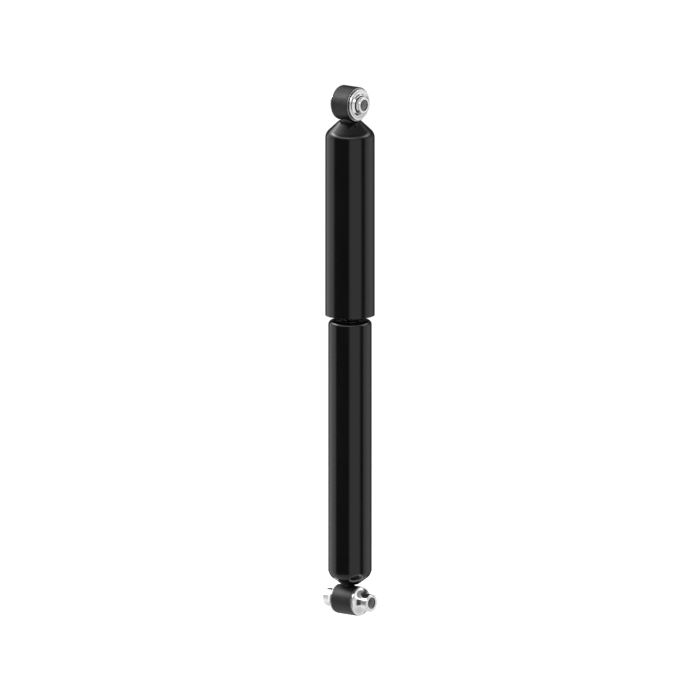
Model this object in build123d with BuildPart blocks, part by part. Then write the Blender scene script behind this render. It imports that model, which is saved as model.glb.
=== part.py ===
from build123d import *
import os
from math import asin, cos, degrees, radians, sin, sqrt, tan

os.makedirs("parts", exist_ok=True)

# Twin-tube shock absorber, standing along Z and fully extended. The origin is the
# middle of the lower eye's bolt hole, and both bolt holes run along X. Sizes in mm.

# Length and tubes
eye_spacing = 552.2
tube_od = 47.6
tube_wall = 1.5
tube_top = 311.6
roll_radius = 5.2
roll_lip_width = 6.5
dust_od = 54.2
dust_wall = 1.0
dust_gap = 5.2
dust_shoulder_radius = 11.5
dust_cone_angle = 47.0
dust_cone_top_od = 24.8
dust_cap_thickness = 2.0
pressure_id = 30.0
pressure_wall = 1.5

# Piston rod
rod_od = 12.7
rod_stub_od = 10.0
rod_end_chamfer = 0.8

# Base cap
cap_wall = 3.5
cap_seam_step = 0.35
cap_skirt_length = 7.0
cap_dome_radius = 11.0
cap_seam_depth = 1.7
cap_cone_angle = 53.0
cap_flat_od = 19.65
cap_bend_radius = 2.5
recess_length = 13.5
recess_width = 9.0
recess_depth = 2.2
recess_bearing = -30.0
recess_slope = 45.0
recess_tilt = 12.0
recess_rim_round = 1.0

# Upper eye
upper_ring_od = 38.1
upper_ring_wall = 3.2
upper_ring_width = 22.8
upper_sleeve_od = 18.0
upper_sleeve_length = 40.5
upper_washer_od = 34.0
upper_washer_thickness = 1.3
washer_groove_depth = 0.6
washer_rim_width = 1.6
washer_groove_width = 2.8
washer_hub_height = 1.6

# Lower eye
lower_ring_od = 32.4
lower_ring_wall = 3.0
lower_ring_width = 27.0
lower_sleeve_od = 16.4
lower_sleeve_length = 61.9
lower_flange_od = 31.8
lower_flange_thickness = 1.2
flange_rim_width = 1.3
flange_neck_od = 19.4
flange_neck_length = 7.4
flange_cone_sag = 0.9
flange_setback = 0.3

# Both eyes
bolt_hole_diameter = 12.3
ring_chamfer = 0.7
sleeve_chamfer = 0.6
shell_wall = 0.9
shell_lip_height = 2.6
shell_lip_thickness = 0.5
rubber_flange_inset = 1.0
rubber_flange_thickness = 0.6
rubber_edge_height = 1.5
rubber_edge_round = 1.8
lower_weld_height = 2.0
lower_weld_neck_od = 9.4
lower_weld_flare = 0.9
upper_weld_height = 0.35
upper_weld_od = 20.8
upper_weld_taper = 0.8
upper_weld_depth = 3.0

# Rod guide and seal
guide_flange_height = 7.4
guide_spigot_height = 6.0
guide_slot_count = 6
guide_slot_width = 5.0
guide_slot_depth = 2.4
guide_recess_od = 26.0
guide_recess_depth = 1.6
bushing_wall = 1.2
bushing_inset = 1.0
seal_plate_thickness = 3.0
seal_width = 4.2
seal_lip_height = 1.4

# Rebound stop
bumper_height = 7.7
bumper_width = 5.0
stop_ring_height = 3.0
stop_ring_width = 4.4
stop_groove_depth = 0.6
stop_to_shoulder = 7.0

# Piston and its valves
piston_height = 16.0
band_height = 9.0
band_thickness = 1.4
band_slit = 0.6
piston_gap = 0.3
check_plate_thickness = 0.5
check_plate_od = 27.6
check_plate_travel = 0.8
check_spring_height = 1.8
check_spring_od = 24.0
check_washer_thickness = 1.6
check_washer_od = 21.0
check_hub_wall = 1.2
bypass_hole_count = 8
bypass_hole_diameter = 2.4
bypass_circle = 23.0
rebound_hole_count = 6
rebound_hole_diameter = 2.2
rebound_circle = 16.4
rebound_disc_od = 21.0
rebound_disc_thickness = 0.6
nut_hub_wall = 1.6
nut_hub_length = 9.5
nut_flange_od = 22.0
nut_flange_thickness = 3.5
spring_wire = 1.5
spring_turns = 3.25

# Base valve
foot_width = 3.0
foot_height = 4.0
foot_slot_count = 4
foot_slot_width = 6.0
valve_spigot_height = 4.0
valve_seat_height = 1.0
valve_web_thickness = 7.5
intake_hole_count = 8
intake_hole_diameter = 2.6
intake_circle = 23.0
compression_hole_count = 6
compression_hole_diameter = 1.8
compression_circle = 15.0
intake_plate_od = 27.2
intake_plate_thickness = 0.5
intake_travel = 1.0
intake_spring_height = 1.9
intake_spring_od = 24.0
compression_disc_od = 19.0
compression_disc_thickness = 0.4
compression_disc_count = 3
compression_disc_step = 1.2
valve_bolt_od = 6.0
valve_bolt_shoulder_od = 11.0
valve_bolt_head_od = 15.0
valve_bolt_head_height = 3.0
valve_nut_width = 10.0
valve_nut_height = 3.6

# Fits, all radial or face to face
running_clearance = 0.03
plate_clearance = 0.06
rubber_gap = 0.3
star_finger_count = 6
star_leaf = 0.3
bottoming_clearance = 2.6

# Radii and levels that follow from the sizes above
tube_radius = tube_od / 2
tube_bore = tube_radius - tube_wall
rod_radius = rod_od / 2
stub_radius = rod_stub_od / 2
pressure_bore = pressure_id / 2
pressure_radius = pressure_bore + pressure_wall
bolt_radius = bolt_hole_diameter / 2

cap_radius = tube_radius - cap_seam_step
cap_bottom = lower_ring_od / 2 + lower_weld_height
cap_arc_centre_r = cap_radius - cap_dome_radius
cap_cone_slope = 1 / tan(radians(cap_cone_angle))
cap_cone_start_r = cap_arc_centre_r + cap_dome_radius * cos(radians(cap_cone_angle))
cap_cone_start_z = cap_bottom + (cap_cone_start_r - cap_flat_od / 2) * cap_cone_slope
cap_dome_centre = cap_cone_start_z + cap_dome_radius * sin(radians(cap_cone_angle))
tube_bottom = cap_dome_centre - cap_seam_depth
cap_inner_radius = cap_dome_radius - cap_wall
cap_inner_cone_r = cap_arc_centre_r + cap_inner_radius * cos(radians(cap_cone_angle))
cap_inner_cone_z = cap_dome_centre - cap_inner_radius * sin(radians(cap_cone_angle))


def cap_floor(radius):
    """Height of the base cap's conical inner floor at a radius."""
    return cap_inner_cone_z - (cap_inner_cone_r - radius) * cap_cone_slope


foot_radius = pressure_radius
foot_inner_radius = foot_radius - foot_width
valve_shoulder = cap_floor(foot_radius) + foot_height
valve_seat = valve_shoulder + valve_spigot_height + valve_seat_height
valve_underside = valve_seat - valve_web_thickness
valve_head_bottom = valve_seat + intake_plate_thickness + intake_spring_height
valve_top = valve_head_bottom + valve_bolt_head_height

seal_top = tube_top - tube_wall
seal_shoulder = tube_top - roll_radius
guide_top = seal_shoulder - seal_plate_thickness
pressure_top = guide_top - guide_flange_height
guide_bottom = pressure_top - guide_spigot_height
bumper_top = guide_bottom - rubber_gap
bumper_bottom = bumper_top - bumper_height
stop_bottom = bumper_bottom - stop_ring_height
rod_shoulder = stop_bottom - stop_to_shoulder
check_washer_bottom = rod_shoulder - check_washer_thickness
piston_top = check_washer_bottom - check_spring_height - check_plate_thickness
piston_bottom = piston_top - piston_height
nut_seat = piston_bottom - nut_hub_length
nut_bottom = nut_seat - nut_flange_thickness
stroke = nut_bottom - valve_top - bottoming_clearance

dust_bottom = tube_top + dust_gap
dust_top = eye_spacing - upper_ring_od / 2 - upper_weld_height

print("stroke", round(stroke, 3), "compressed length", round(eye_spacing - stroke, 3))
print("check travel", check_plate_travel, "intake travel", intake_travel)


# Reserve tube: drawn steel, its top edge rolled inwards over the seal plate
with BuildPart() as reserve_tube:
    with BuildSketch(Plane.XZ):
        with BuildLine():
            roll_centre = (tube_radius - roll_radius, tube_top - roll_radius)
            outer_roll = CenterArc(roll_centre, roll_radius, 0, 90)
            inner_roll = CenterArc(roll_centre, roll_radius - tube_wall, 0, 90)
            lip_radius = tube_radius - roll_lip_width
            Line((tube_radius, tube_bottom), outer_roll @ 0)
            Polyline(outer_roll @ 1, (lip_radius, tube_top), (lip_radius, seal_top), inner_roll @ 1)
            Polyline(inner_roll @ 0, (tube_bore, tube_bottom), (tube_radius, tube_bottom))
        make_face()
    revolve(axis=Axis.Z)
reserve_tube.part.label = "reserve_tube"
export_step(reserve_tube.part, "parts/reserve_tube.step")


# Base cap: a pressed dome whose skirt plugs the reserve tube, with an oblong recess
with BuildPart() as base_cap:
    with BuildSketch(Plane.XZ):
        with BuildLine():
            dome_centre = (cap_arc_centre_r, cap_dome_centre)
            bare_arc = cap_cone_angle - degrees(asin(cap_seam_depth / cap_dome_radius))
            outer_dome = CenterArc(dome_centre, cap_dome_radius, -cap_cone_angle, bare_arc)
            inner_dome = CenterArc(dome_centre, cap_inner_radius, -cap_cone_angle, cap_cone_angle)
            skirt_top = tube_bottom + cap_skirt_length
            inner_floor = cap_bottom + cap_wall
            floor_radius = cap_inner_cone_r - (cap_inner_cone_z - inner_floor) / cap_cone_slope
            skirt_bore = cap_radius - cap_wall
            Polyline((0, cap_bottom), (cap_flat_od / 2, cap_bottom), outer_dome @ 0)
            Polyline(outer_dome @ 1, (tube_bore, tube_bottom), (tube_bore, skirt_top))
            Polyline((tube_bore, skirt_top), (skirt_bore, skirt_top), inner_dome @ 1)
            Polyline(inner_dome @ 0, (floor_radius, inner_floor), (0, inner_floor), (0, cap_bottom))
        make_face()
    revolve(axis=Axis.Z)
    inner_bend, outer_bend = base_cap.edges().filter_by(GeomType.CIRCLE).group_by(SortBy.RADIUS)[0:2]
    fillet(inner_bend + outer_bend, cap_bend_radius)
    bearing = radians(recess_bearing)
    slope = radians(recess_slope)
    dome_radius_at_recess = cap_arc_centre_r + cap_dome_radius * cos(slope)
    recess_point = (
        dome_radius_at_recess * cos(bearing),
        dome_radius_at_recess * sin(bearing),
        cap_dome_centre - cap_dome_radius * sin(slope),
    )
    recess_normal = (cos(slope) * cos(bearing), cos(slope) * sin(bearing), -sin(slope))
    recess_plane = Plane(recess_point, x_dir=(-sin(bearing), cos(bearing), 0), z_dir=recess_normal)
    with BuildSketch(recess_plane.offset(-recess_depth)):
        SlotOverall(recess_length, recess_width, rotation=recess_tilt)
    extrude(amount=recess_depth + cap_dome_radius / 2, mode=Mode.SUBTRACT)
    wall_edges = base_cap.edges(Select.LAST).filter_by(GeomType.LINE, reverse=True)
    recess_rim = wall_edges.filter_by(
        lambda edge: recess_plane.to_local_coords(edge.center()).Z > recess_rim_round - recess_depth
    )
    fillet(recess_rim, recess_rim_round)
base_cap.part.label = "base_cap"
export_step(base_cap.part, "parts/base_cap.step")


# Pressure tube: the honed inner tube, clamped between base valve and rod guide
with BuildPart() as pressure_tube:
    with BuildSketch(Plane.XY.offset(valve_shoulder)):
        Circle(pressure_radius)
        Circle(pressure_bore, mode=Mode.SUBTRACT)
    extrude(amount=pressure_top - valve_shoulder)
pressure_tube.part.label = "pressure_tube"
export_step(pressure_tube.part, "parts/pressure_tube.step")


# Rod guide: a stepped sintered plug with oil return notches round its flange
with BuildPart() as rod_guide:
    guide_bore = rod_radius + running_clearance + bushing_wall
    with BuildSketch(Plane.XZ):
        with BuildLine():
            Polyline(
                (guide_bore, guide_bottom),
                (pressure_bore - rubber_gap, guide_bottom),
                (pressure_bore, guide_bottom + rubber_gap),
                (pressure_bore, pressure_top),
                (tube_bore, pressure_top),
                (tube_bore, guide_top),
                (guide_recess_od / 2, guide_top),
                (guide_recess_od / 2 - guide_recess_depth, guide_top - guide_recess_depth),
                (guide_bore, guide_top - guide_recess_depth),
                close=True,
            )
        make_face()
    revolve(axis=Axis.Z)
    with BuildSketch(Plane.XY.offset(pressure_top)):
        with PolarLocations(tube_bore, guide_slot_count):
            Rectangle(guide_slot_depth * 2, guide_slot_width)
    extrude(amount=guide_flange_height, mode=Mode.SUBTRACT)
rod_guide.part.label = "rod_guide"
export_step(rod_guide.part, "parts/rod_guide.step")


# Rod guide bushing: the thin bearing sleeve that the rod slides and turns in
with BuildPart() as rod_guide_bushing:
    with BuildSketch(Plane.XY.offset(guide_bottom + bushing_inset)):
        Circle(guide_bore)
        Circle(rod_radius + running_clearance, mode=Mode.SUBTRACT)
    extrude(amount=guide_top - guide_recess_depth - guide_bottom - 2 * bushing_inset)
rod_guide_bushing.part.label = "rod_guide_bushing"
export_step(rod_guide_bushing.part, "parts/rod_guide_bushing.step")


# Seal plate: the steel washer under the rolled edge that carries the rubber seal
with BuildPart() as seal_plate:
    seal_radius = rod_radius + running_clearance + seal_width
    plate_boss_radius = tube_radius - roll_radius
    with BuildSketch(Plane.XZ):
        with BuildLine():
            Polyline(
                (seal_radius, guide_top),
                (tube_bore, guide_top),
                (tube_bore, seal_shoulder),
                (plate_boss_radius, seal_shoulder),
                (plate_boss_radius, seal_top),
                (seal_radius, seal_top),
                close=True,
            )
        make_face()
    revolve(axis=Axis.Z)
seal_plate.part.label = "seal_plate"
export_step(seal_plate.part, "parts/seal_plate.step")


# Rod seal: rubber ring with an oil lip below and a wiper lip above
with BuildPart() as rod_seal:
    lip_bore = rod_radius + running_clearance
    relief_radius = lip_bore + seal_width / 4
    seal_middle = (guide_top + seal_top) / 2
    with BuildSketch(Plane.XZ):
        with BuildLine():
            Polyline(
                (seal_radius, guide_top),
                (seal_radius, seal_top),
                (relief_radius, seal_top + seal_lip_height / 2),
                (lip_bore, seal_top + seal_lip_height),
                (lip_bore, seal_top),
                (relief_radius, seal_middle + seal_lip_height / 2),
                (relief_radius, seal_middle - seal_lip_height / 2),
                (lip_bore, guide_top + seal_lip_height),
                (lip_bore, guide_top + seal_lip_height / 3),
                (relief_radius, guide_top),
                close=True,
            )
        make_face()
    revolve(axis=Axis.Z)
rod_seal.part.label = "rod_seal"
export_step(rod_seal.part, "parts/rod_seal.step")


# Base valve body: seated on the cap's cone, with intake and compression ports
with BuildPart() as base_valve_body:
    seat_radius = pressure_bore - valve_seat_height
    with BuildSketch(Plane.XZ):
        with BuildLine():
            Polyline(
                (valve_bolt_od / 2, valve_underside),
                (foot_inner_radius, valve_underside),
                (foot_inner_radius, cap_floor(foot_inner_radius)),
                (foot_radius, cap_floor(foot_radius)),
                (foot_radius, valve_shoulder),
                (pressure_bore, valve_shoulder),
                (pressure_bore, valve_seat - valve_seat_height),
                (seat_radius, valve_seat),
                (valve_bolt_od / 2, valve_seat),
                close=True,
            )
        make_face()
    revolve(axis=Axis.Z)
    with BuildSketch(Plane.XY.offset(valve_seat)):
        with PolarLocations(intake_circle / 2, intake_hole_count):
            Circle(intake_hole_diameter / 2)
        with PolarLocations(compression_circle / 2, compression_hole_count):
            Circle(compression_hole_diameter / 2)
    extrude(amount=-valve_web_thickness, mode=Mode.SUBTRACT)
    with BuildSketch(Plane.XY.offset(cap_floor(foot_inner_radius))):
        with PolarLocations(foot_radius, foot_slot_count):
            Rectangle(foot_width * 3, foot_slot_width)
    extrude(amount=valve_underside - cap_floor(foot_inner_radius), mode=Mode.SUBTRACT)
base_valve_body.part.label = "base_valve_body"
export_step(base_valve_body.part, "parts/base_valve_body.step")


# Base valve bolt: clamps the valve stack, its head stops the intake plate
with BuildPart() as base_valve_bolt:
    discs_bottom = valve_underside - compression_disc_count * compression_disc_thickness
    bolt_end = discs_bottom - valve_nut_height
    with BuildSketch(Plane.XZ):
        with BuildLine():
            Polyline(
                (0, bolt_end),
                (valve_bolt_od / 2, bolt_end),
                (valve_bolt_od / 2, valve_seat),
                (valve_bolt_shoulder_od / 2, valve_seat),
                (valve_bolt_shoulder_od / 2, valve_head_bottom),
                (valve_bolt_head_od / 2, valve_head_bottom),
                (valve_bolt_head_od / 2, valve_top - valve_seat_height),
                (valve_bolt_head_od / 2 - valve_seat_height, valve_top),
                (0, valve_top),
                close=True,
            )
        make_face()
    revolve(axis=Axis.Z)
base_valve_bolt.part.label = "base_valve_bolt"
export_step(base_valve_bolt.part, "parts/base_valve_bolt.step")


# Base valve nut: hexagonal, below the compression discs
with BuildPart() as base_valve_nut:
    with BuildSketch(Plane.XY.offset(bolt_end)):
        RegularPolygon(valve_nut_width / 2, 6, major_radius=False)
        Circle(valve_bolt_od / 2, mode=Mode.SUBTRACT)
    extrude(amount=valve_nut_height)
base_valve_nut.part.label = "base_valve_nut"
export_step(base_valve_nut.part, "parts/base_valve_nut.step")


# Compression discs: a stack of spring steel shims that steps down in size
with BuildPart() as base_compression_discs:
    for disc in range(compression_disc_count):
        disc_top = valve_underside - disc * compression_disc_thickness
        disc_radius = compression_disc_od / 2 - disc * compression_disc_step
        with BuildSketch(Plane.XY.offset(disc_top)):
            Circle(disc_radius)
            Circle(valve_bolt_od / 2, mode=Mode.SUBTRACT)
        extrude(amount=-compression_disc_thickness)
base_compression_discs.part.label = "base_compression_discs"
export_step(base_compression_discs.part, "parts/base_compression_discs.step")


# Intake plate: lifts off its seat to refill the working chamber
with BuildPart() as base_intake_plate:
    with BuildSketch(Plane.XY.offset(valve_seat)):
        Circle(intake_plate_od / 2)
        Circle(valve_bolt_shoulder_od / 2 + plate_clearance, mode=Mode.SUBTRACT)
        with PolarLocations(compression_circle / 2, compression_hole_count):
            Circle(compression_hole_diameter / 2, mode=Mode.SUBTRACT)
    extrude(amount=intake_plate_thickness)
base_intake_plate.part.label = "base_intake_plate"
export_step(base_intake_plate.part, "parts/base_intake_plate.step")


def star_spring(low_z, high_z, inner_radius, outer_radius, thickness):
    """Shallow conical star spring: a hub washer with fingers reaching down to low_z."""
    hub_radius = inner_radius + (outer_radius - inner_radius) / 3
    with BuildPart() as spring:
        with BuildSketch(Plane.XZ):
            with BuildLine():
                Polyline(
                    (inner_radius, high_z - thickness),
                    (hub_radius, high_z - thickness),
                    (outer_radius, low_z),
                    (outer_radius, low_z + thickness),
                    (hub_radius, high_z),
                    (inner_radius, high_z),
                    close=True,
                )
            make_face()
        revolve(axis=Axis.Z)
        gap_width = outer_radius * sin(radians(180 / star_finger_count))
        with BuildSketch(Plane.XY.offset(low_z)):
            with PolarLocations(hub_radius, star_finger_count):
                with Locations((outer_radius / 2, 0)):
                    SlotOverall(outer_radius, gap_width)
        extrude(amount=high_z - low_z, mode=Mode.SUBTRACT)
    return spring


# Intake spring: light star spring between the intake plate and the bolt's head
base_intake_spring = star_spring(
    valve_seat + intake_plate_thickness,
    valve_head_bottom,
    valve_bolt_shoulder_od / 2,
    intake_spring_od / 2,
    star_leaf,
)
base_intake_spring.part.label = "base_intake_spring"
export_step(base_intake_spring.part, "parts/base_intake_spring.step")


# Piston rod: ground bar, stepped down for the piston, saddled to the upper ring
with BuildPart() as piston_rod:
    rod_top = eye_spacing - sqrt((upper_ring_od / 2) ** 2 - rod_radius**2)
    groove_radius = rod_radius - stop_groove_depth
    with BuildSketch(Plane.XZ):
        with BuildLine():
            Polyline(
                (0, nut_bottom),
                (stub_radius - rod_end_chamfer, nut_bottom),
                (stub_radius, nut_bottom + rod_end_chamfer),
                (stub_radius, rod_shoulder),
                (rod_radius, rod_shoulder),
                (rod_radius, stop_bottom),
                (groove_radius, stop_bottom),
                (groove_radius, bumper_bottom),
                (rod_radius, bumper_bottom),
                (rod_radius, rod_top),
                (0, rod_top),
                close=True,
            )
        make_face()
    revolve(axis=Axis.Z)
    with Locations((0, 0, eye_spacing)):
        Cylinder(upper_ring_od / 2, upper_ring_width, rotation=(0, 90, 0), mode=Mode.SUBTRACT)
piston_rod.part.label = "piston_rod"
export_step(piston_rod.part, "parts/piston_rod.step")


# Rebound stop ring: staked into the rod's groove
with BuildPart() as rebound_stop_ring:
    with BuildSketch(Plane.XY.offset(stop_bottom)):
        Circle(rod_radius + stop_ring_width)
        Circle(groove_radius, mode=Mode.SUBTRACT)
    extrude(amount=stop_ring_height)
    outer_edges = rebound_stop_ring.edges().filter_by(GeomType.CIRCLE).group_by(SortBy.RADIUS)[-1]
    chamfer(outer_edges, stop_groove_depth)
rebound_stop_ring.part.label = "rebound_stop_ring"
export_step(rebound_stop_ring.part, "parts/rebound_stop_ring.step")


# Rebound bumper: rubber ring that meets the rod guide at full extension
with BuildPart() as rebound_bumper:
    with BuildSketch(Plane.XY.offset(bumper_bottom)):
        Circle(rod_radius + bumper_width)
        Circle(rod_radius, mode=Mode.SUBTRACT)
    extrude(amount=bumper_height)
    outer_edges = rebound_bumper.edges().filter_by(GeomType.CIRCLE).group_by(SortBy.RADIUS)[-1]
    fillet(outer_edges, bumper_width / 4)
rebound_bumper.part.label = "rebound_bumper"
export_step(rebound_bumper.part, "parts/rebound_bumper.step")


# Check washer: clamped under the rod's shoulder, it limits the check plate
with BuildPart() as piston_check_washer:
    check_hub_radius = stub_radius + check_hub_wall
    with BuildSketch(Plane.XZ):
        with BuildLine():
            Polyline(
                (stub_radius, piston_top),
                (check_hub_radius, piston_top),
                (check_hub_radius, check_washer_bottom),
                (check_washer_od / 2, check_washer_bottom),
                (check_washer_od / 2, rod_shoulder),
                (stub_radius, rod_shoulder),
                close=True,
            )
        make_face()
    revolve(axis=Axis.Z)
piston_check_washer.part.label = "piston_check_washer"
export_step(piston_check_washer.part, "parts/piston_check_washer.step")


# Check plate: covers the piston's outer ports and lifts on the compression stroke
with BuildPart() as piston_check_plate:
    with BuildSketch(Plane.XY.offset(piston_top)):
        Circle(check_plate_od / 2)
        Circle(check_hub_radius + plate_clearance, mode=Mode.SUBTRACT)
        with PolarLocations(rebound_circle / 2, rebound_hole_count):
            Circle(rebound_hole_diameter / 2, mode=Mode.SUBTRACT)
    extrude(amount=check_plate_thickness)
piston_check_plate.part.label = "piston_check_plate"
export_step(piston_check_plate.part, "parts/piston_check_plate.step")


# Check spring: light star spring above the check plate
piston_check_spring = star_spring(
    piston_top + check_plate_thickness,
    check_washer_bottom,
    check_hub_radius,
    check_spring_od / 2,
    star_leaf,
)
piston_check_spring.part.label = "piston_check_spring"
export_step(piston_check_spring.part, "parts/piston_check_spring.step")


# Piston: sintered, with a groove for its band and two circles of ports
with BuildPart() as piston:
    piston_radius = pressure_bore - piston_gap
    band_bottom = (piston_top + piston_bottom - band_height) / 2
    band_bore = pressure_bore - running_clearance - band_thickness
    with BuildSketch(Plane.XZ):
        with BuildLine():
            Polyline(
                (stub_radius, piston_bottom),
                (piston_radius - rod_end_chamfer, piston_bottom),
                (piston_radius, piston_bottom + rod_end_chamfer),
                (piston_radius, band_bottom),
                (band_bore - running_clearance, band_bottom),
                (band_bore - running_clearance, band_bottom + band_height),
                (piston_radius, band_bottom + band_height),
                (piston_radius, piston_top - rod_end_chamfer),
                (piston_radius - rod_end_chamfer, piston_top),
                (stub_radius, piston_top),
                close=True,
            )
        make_face()
    revolve(axis=Axis.Z)
    with BuildSketch(Plane.XY.offset(piston_top)):
        with PolarLocations(bypass_circle / 2, bypass_hole_count):
            Circle(bypass_hole_diameter / 2)
        with PolarLocations(rebound_circle / 2, rebound_hole_count):
            Circle(rebound_hole_diameter / 2)
    extrude(amount=-piston_height, mode=Mode.SUBTRACT)
piston.part.label = "piston"
export_step(piston.part, "parts/piston.step")


# Piston band: split low-friction ring that bears on the pressure tube
with BuildPart() as piston_band:
    with BuildSketch(Plane.XY.offset(band_bottom + running_clearance)):
        Circle(pressure_bore - running_clearance)
        Circle(band_bore, mode=Mode.SUBTRACT)
        with Locations((0, pressure_bore - band_thickness)):
            Rectangle(band_slit, band_thickness * 3, mode=Mode.SUBTRACT)
    extrude(amount=band_height - 2 * running_clearance)
piston_band.part.label = "piston_band"
export_step(piston_band.part, "parts/piston_band.step")


# Piston nut: its hub guides the rebound disc, its flange carries the coil spring
with BuildPart() as piston_nut:
    nut_hub_radius = stub_radius + nut_hub_wall
    with BuildSketch(Plane.XY.offset(nut_seat)):
        Circle(nut_hub_radius)
    extrude(amount=nut_hub_length)
    with BuildSketch(Plane.XY.offset(nut_bottom)):
        RegularPolygon(nut_flange_od / 2, 6)
    extrude(amount=nut_flange_thickness)
    with BuildSketch(Plane.XY.offset(nut_bottom)):
        Circle(stub_radius)
    extrude(amount=nut_hub_length + nut_flange_thickness, mode=Mode.SUBTRACT)
piston_nut.part.label = "piston_nut"
export_step(piston_nut.part, "parts/piston_nut.step")


# Rebound disc: held against the inner ports by the coil spring
with BuildPart() as rebound_disc:
    rebound_disc_bottom = piston_bottom - rebound_disc_thickness
    with BuildSketch(Plane.XY.offset(rebound_disc_bottom)):
        Circle(rebound_disc_od / 2)
        Circle(nut_hub_radius + plate_clearance, mode=Mode.SUBTRACT)
    extrude(amount=rebound_disc_thickness)
rebound_disc.part.label = "rebound_disc"
export_step(rebound_disc.part, "parts/rebound_disc.step")


# Rebound spring: round wire coil with ground ends, from nut flange to rebound disc
with BuildPart() as rebound_spring:
    spring_height = rebound_disc_bottom - nut_seat
    coil_radius = (rebound_disc_od / 2 + nut_hub_radius) / 2
    coil_pitch = spring_height / spring_turns
    with BuildLine(Plane.XY.offset(nut_seat)):
        coil_path = Helix(coil_pitch, spring_height, coil_radius)
    with BuildSketch(Plane(coil_path @ 0, z_dir=coil_path % 0)):
        Circle(spring_wire / 2)
    sweep(is_frenet=True)
    split(bisect_by=Plane.XY.offset(nut_seat), keep=Keep.TOP)
    split(bisect_by=Plane.XY.offset(rebound_disc_bottom), keep=Keep.BOTTOM)
rebound_spring.part.label = "rebound_spring"
export_step(rebound_spring.part, "parts/rebound_spring.step")


# Dust tube: open below, drawn in through a shoulder and a cone to the rod
with BuildPart() as dust_tube:
    dust_radius = dust_od / 2
    shoulder_centre_r = dust_radius - dust_shoulder_radius
    cone_foot_r = shoulder_centre_r + dust_shoulder_radius * cos(radians(dust_cone_angle))
    cone_rise = (cone_foot_r - dust_cone_top_od / 2) / tan(radians(dust_cone_angle))
    shoulder_z = dust_top - cone_rise - dust_shoulder_radius * sin(radians(dust_cone_angle))
    inner_top = dust_top - dust_cap_thickness
    with BuildSketch(Plane.XZ):
        with BuildLine():
            shoulder_centre = (shoulder_centre_r, shoulder_z)
            outer_shoulder = CenterArc(shoulder_centre, dust_shoulder_radius, 0, dust_cone_angle)
            inner_shoulder_radius = dust_shoulder_radius - dust_wall
            inner_shoulder = CenterArc(shoulder_centre, inner_shoulder_radius, 0, dust_cone_angle)
            inner_cone_foot = inner_shoulder @ 1
            inner_cone_run = (inner_top - inner_cone_foot.Y) * tan(radians(dust_cone_angle))
            Line((dust_radius, dust_bottom), outer_shoulder @ 0)
            Polyline(
                outer_shoulder @ 1,
                (dust_cone_top_od / 2, dust_top),
                (rod_radius, dust_top),
                (rod_radius, inner_top),
                (inner_cone_foot.X - inner_cone_run, inner_top),
                inner_cone_foot,
            )
            Polyline(
                inner_shoulder @ 0,
                (dust_radius - dust_wall, dust_bottom),
                (dust_radius, dust_bottom),
            )
        make_face()
    revolve(axis=Axis.Z)
dust_tube.part.label = "dust_tube"
export_step(dust_tube.part, "parts/dust_tube.step")


# Upper weld: joins rod, dust tube and upper ring
with BuildPart() as upper_eye_weld:
    weld_top = dust_top + upper_weld_depth
    with BuildSketch(Plane.XZ):
        with BuildLine():
            Polyline(
                (rod_radius, dust_top),
                (upper_weld_od / 2, dust_top),
                (upper_weld_od / 2 - upper_weld_taper, weld_top),
                (rod_radius, weld_top),
                close=True,
            )
        make_face()
    revolve(axis=Axis.Z)
    with Locations((0, 0, eye_spacing)):
        Cylinder(upper_ring_od / 2, upper_ring_width, rotation=(0, 90, 0), mode=Mode.SUBTRACT)
upper_eye_weld.part.label = "upper_eye_weld"
export_step(upper_eye_weld.part, "parts/upper_eye_weld.step")


# Lower weld: a waisted neck between the cap's flat and the lower ring, saddled to the ring
with BuildPart() as lower_eye_weld:
    weld_neck_radius = lower_weld_neck_od / 2
    weld_flare_radius = weld_neck_radius + lower_weld_flare
    weld_foot = sqrt((lower_ring_od / 2) ** 2 - weld_flare_radius**2)
    with BuildSketch(Plane.XZ):
        with BuildLine():
            waist = ThreePointArc(
                (weld_flare_radius, weld_foot),
                (weld_neck_radius, (weld_foot + cap_bottom) / 2),
                (weld_flare_radius, cap_bottom),
            )
            Polyline(waist @ 1, (0, cap_bottom), (0, weld_foot), waist @ 0)
        make_face()
    revolve(axis=Axis.Z)
    Cylinder(lower_ring_od / 2, lower_ring_width, rotation=(0, 90, 0), mode=Mode.SUBTRACT)
lower_eye_weld.part.label = "lower_eye_weld"
export_step(lower_eye_weld.part, "parts/lower_eye_weld.step")


def eye_plane(height):
    """Sketch plane of an eye: local x runs along the bolt, local y outwards from it."""
    return Plane(origin=(0, 0, height), x_dir=(1, 0, 0), z_dir=(0, -1, 0))


def eye_axis(height):
    """Bolt axis of the eye at a height."""
    return Axis((0, 0, height), (1, 0, 0))


def eye_ring(height, outer_radius, wall, width):
    """Welded steel ring with chamfered edges."""
    with BuildPart() as ring:
        with BuildSketch(eye_plane(height)):
            with Locations((0, outer_radius - wall / 2)):
                Rectangle(width, wall)
        revolve(axis=eye_axis(height))
        rims = ring.edges().filter_by(GeomType.CIRCLE).group_by(SortBy.RADIUS)[-1]
        chamfer(rims, ring_chamfer)
    return ring


def bushing_shell(height, outer_radius, ring_width):
    """Thin steel shell pressed into the ring, its ends turned out over the ring's faces."""
    half = ring_width / 2
    end = half + shell_lip_thickness
    with BuildPart() as shell:
        with BuildSketch(eye_plane(height)):
            with Locations((0, outer_radius - shell_wall / 2)):
                Rectangle(2 * end, shell_wall)
            with Locations((half + shell_lip_thickness / 2, 0), (-half - shell_lip_thickness / 2, 0)):
                with Locations((0, outer_radius + shell_lip_height / 2)):
                    Rectangle(shell_lip_thickness, shell_lip_height)
        revolve(axis=eye_axis(height))
    return shell


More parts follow.
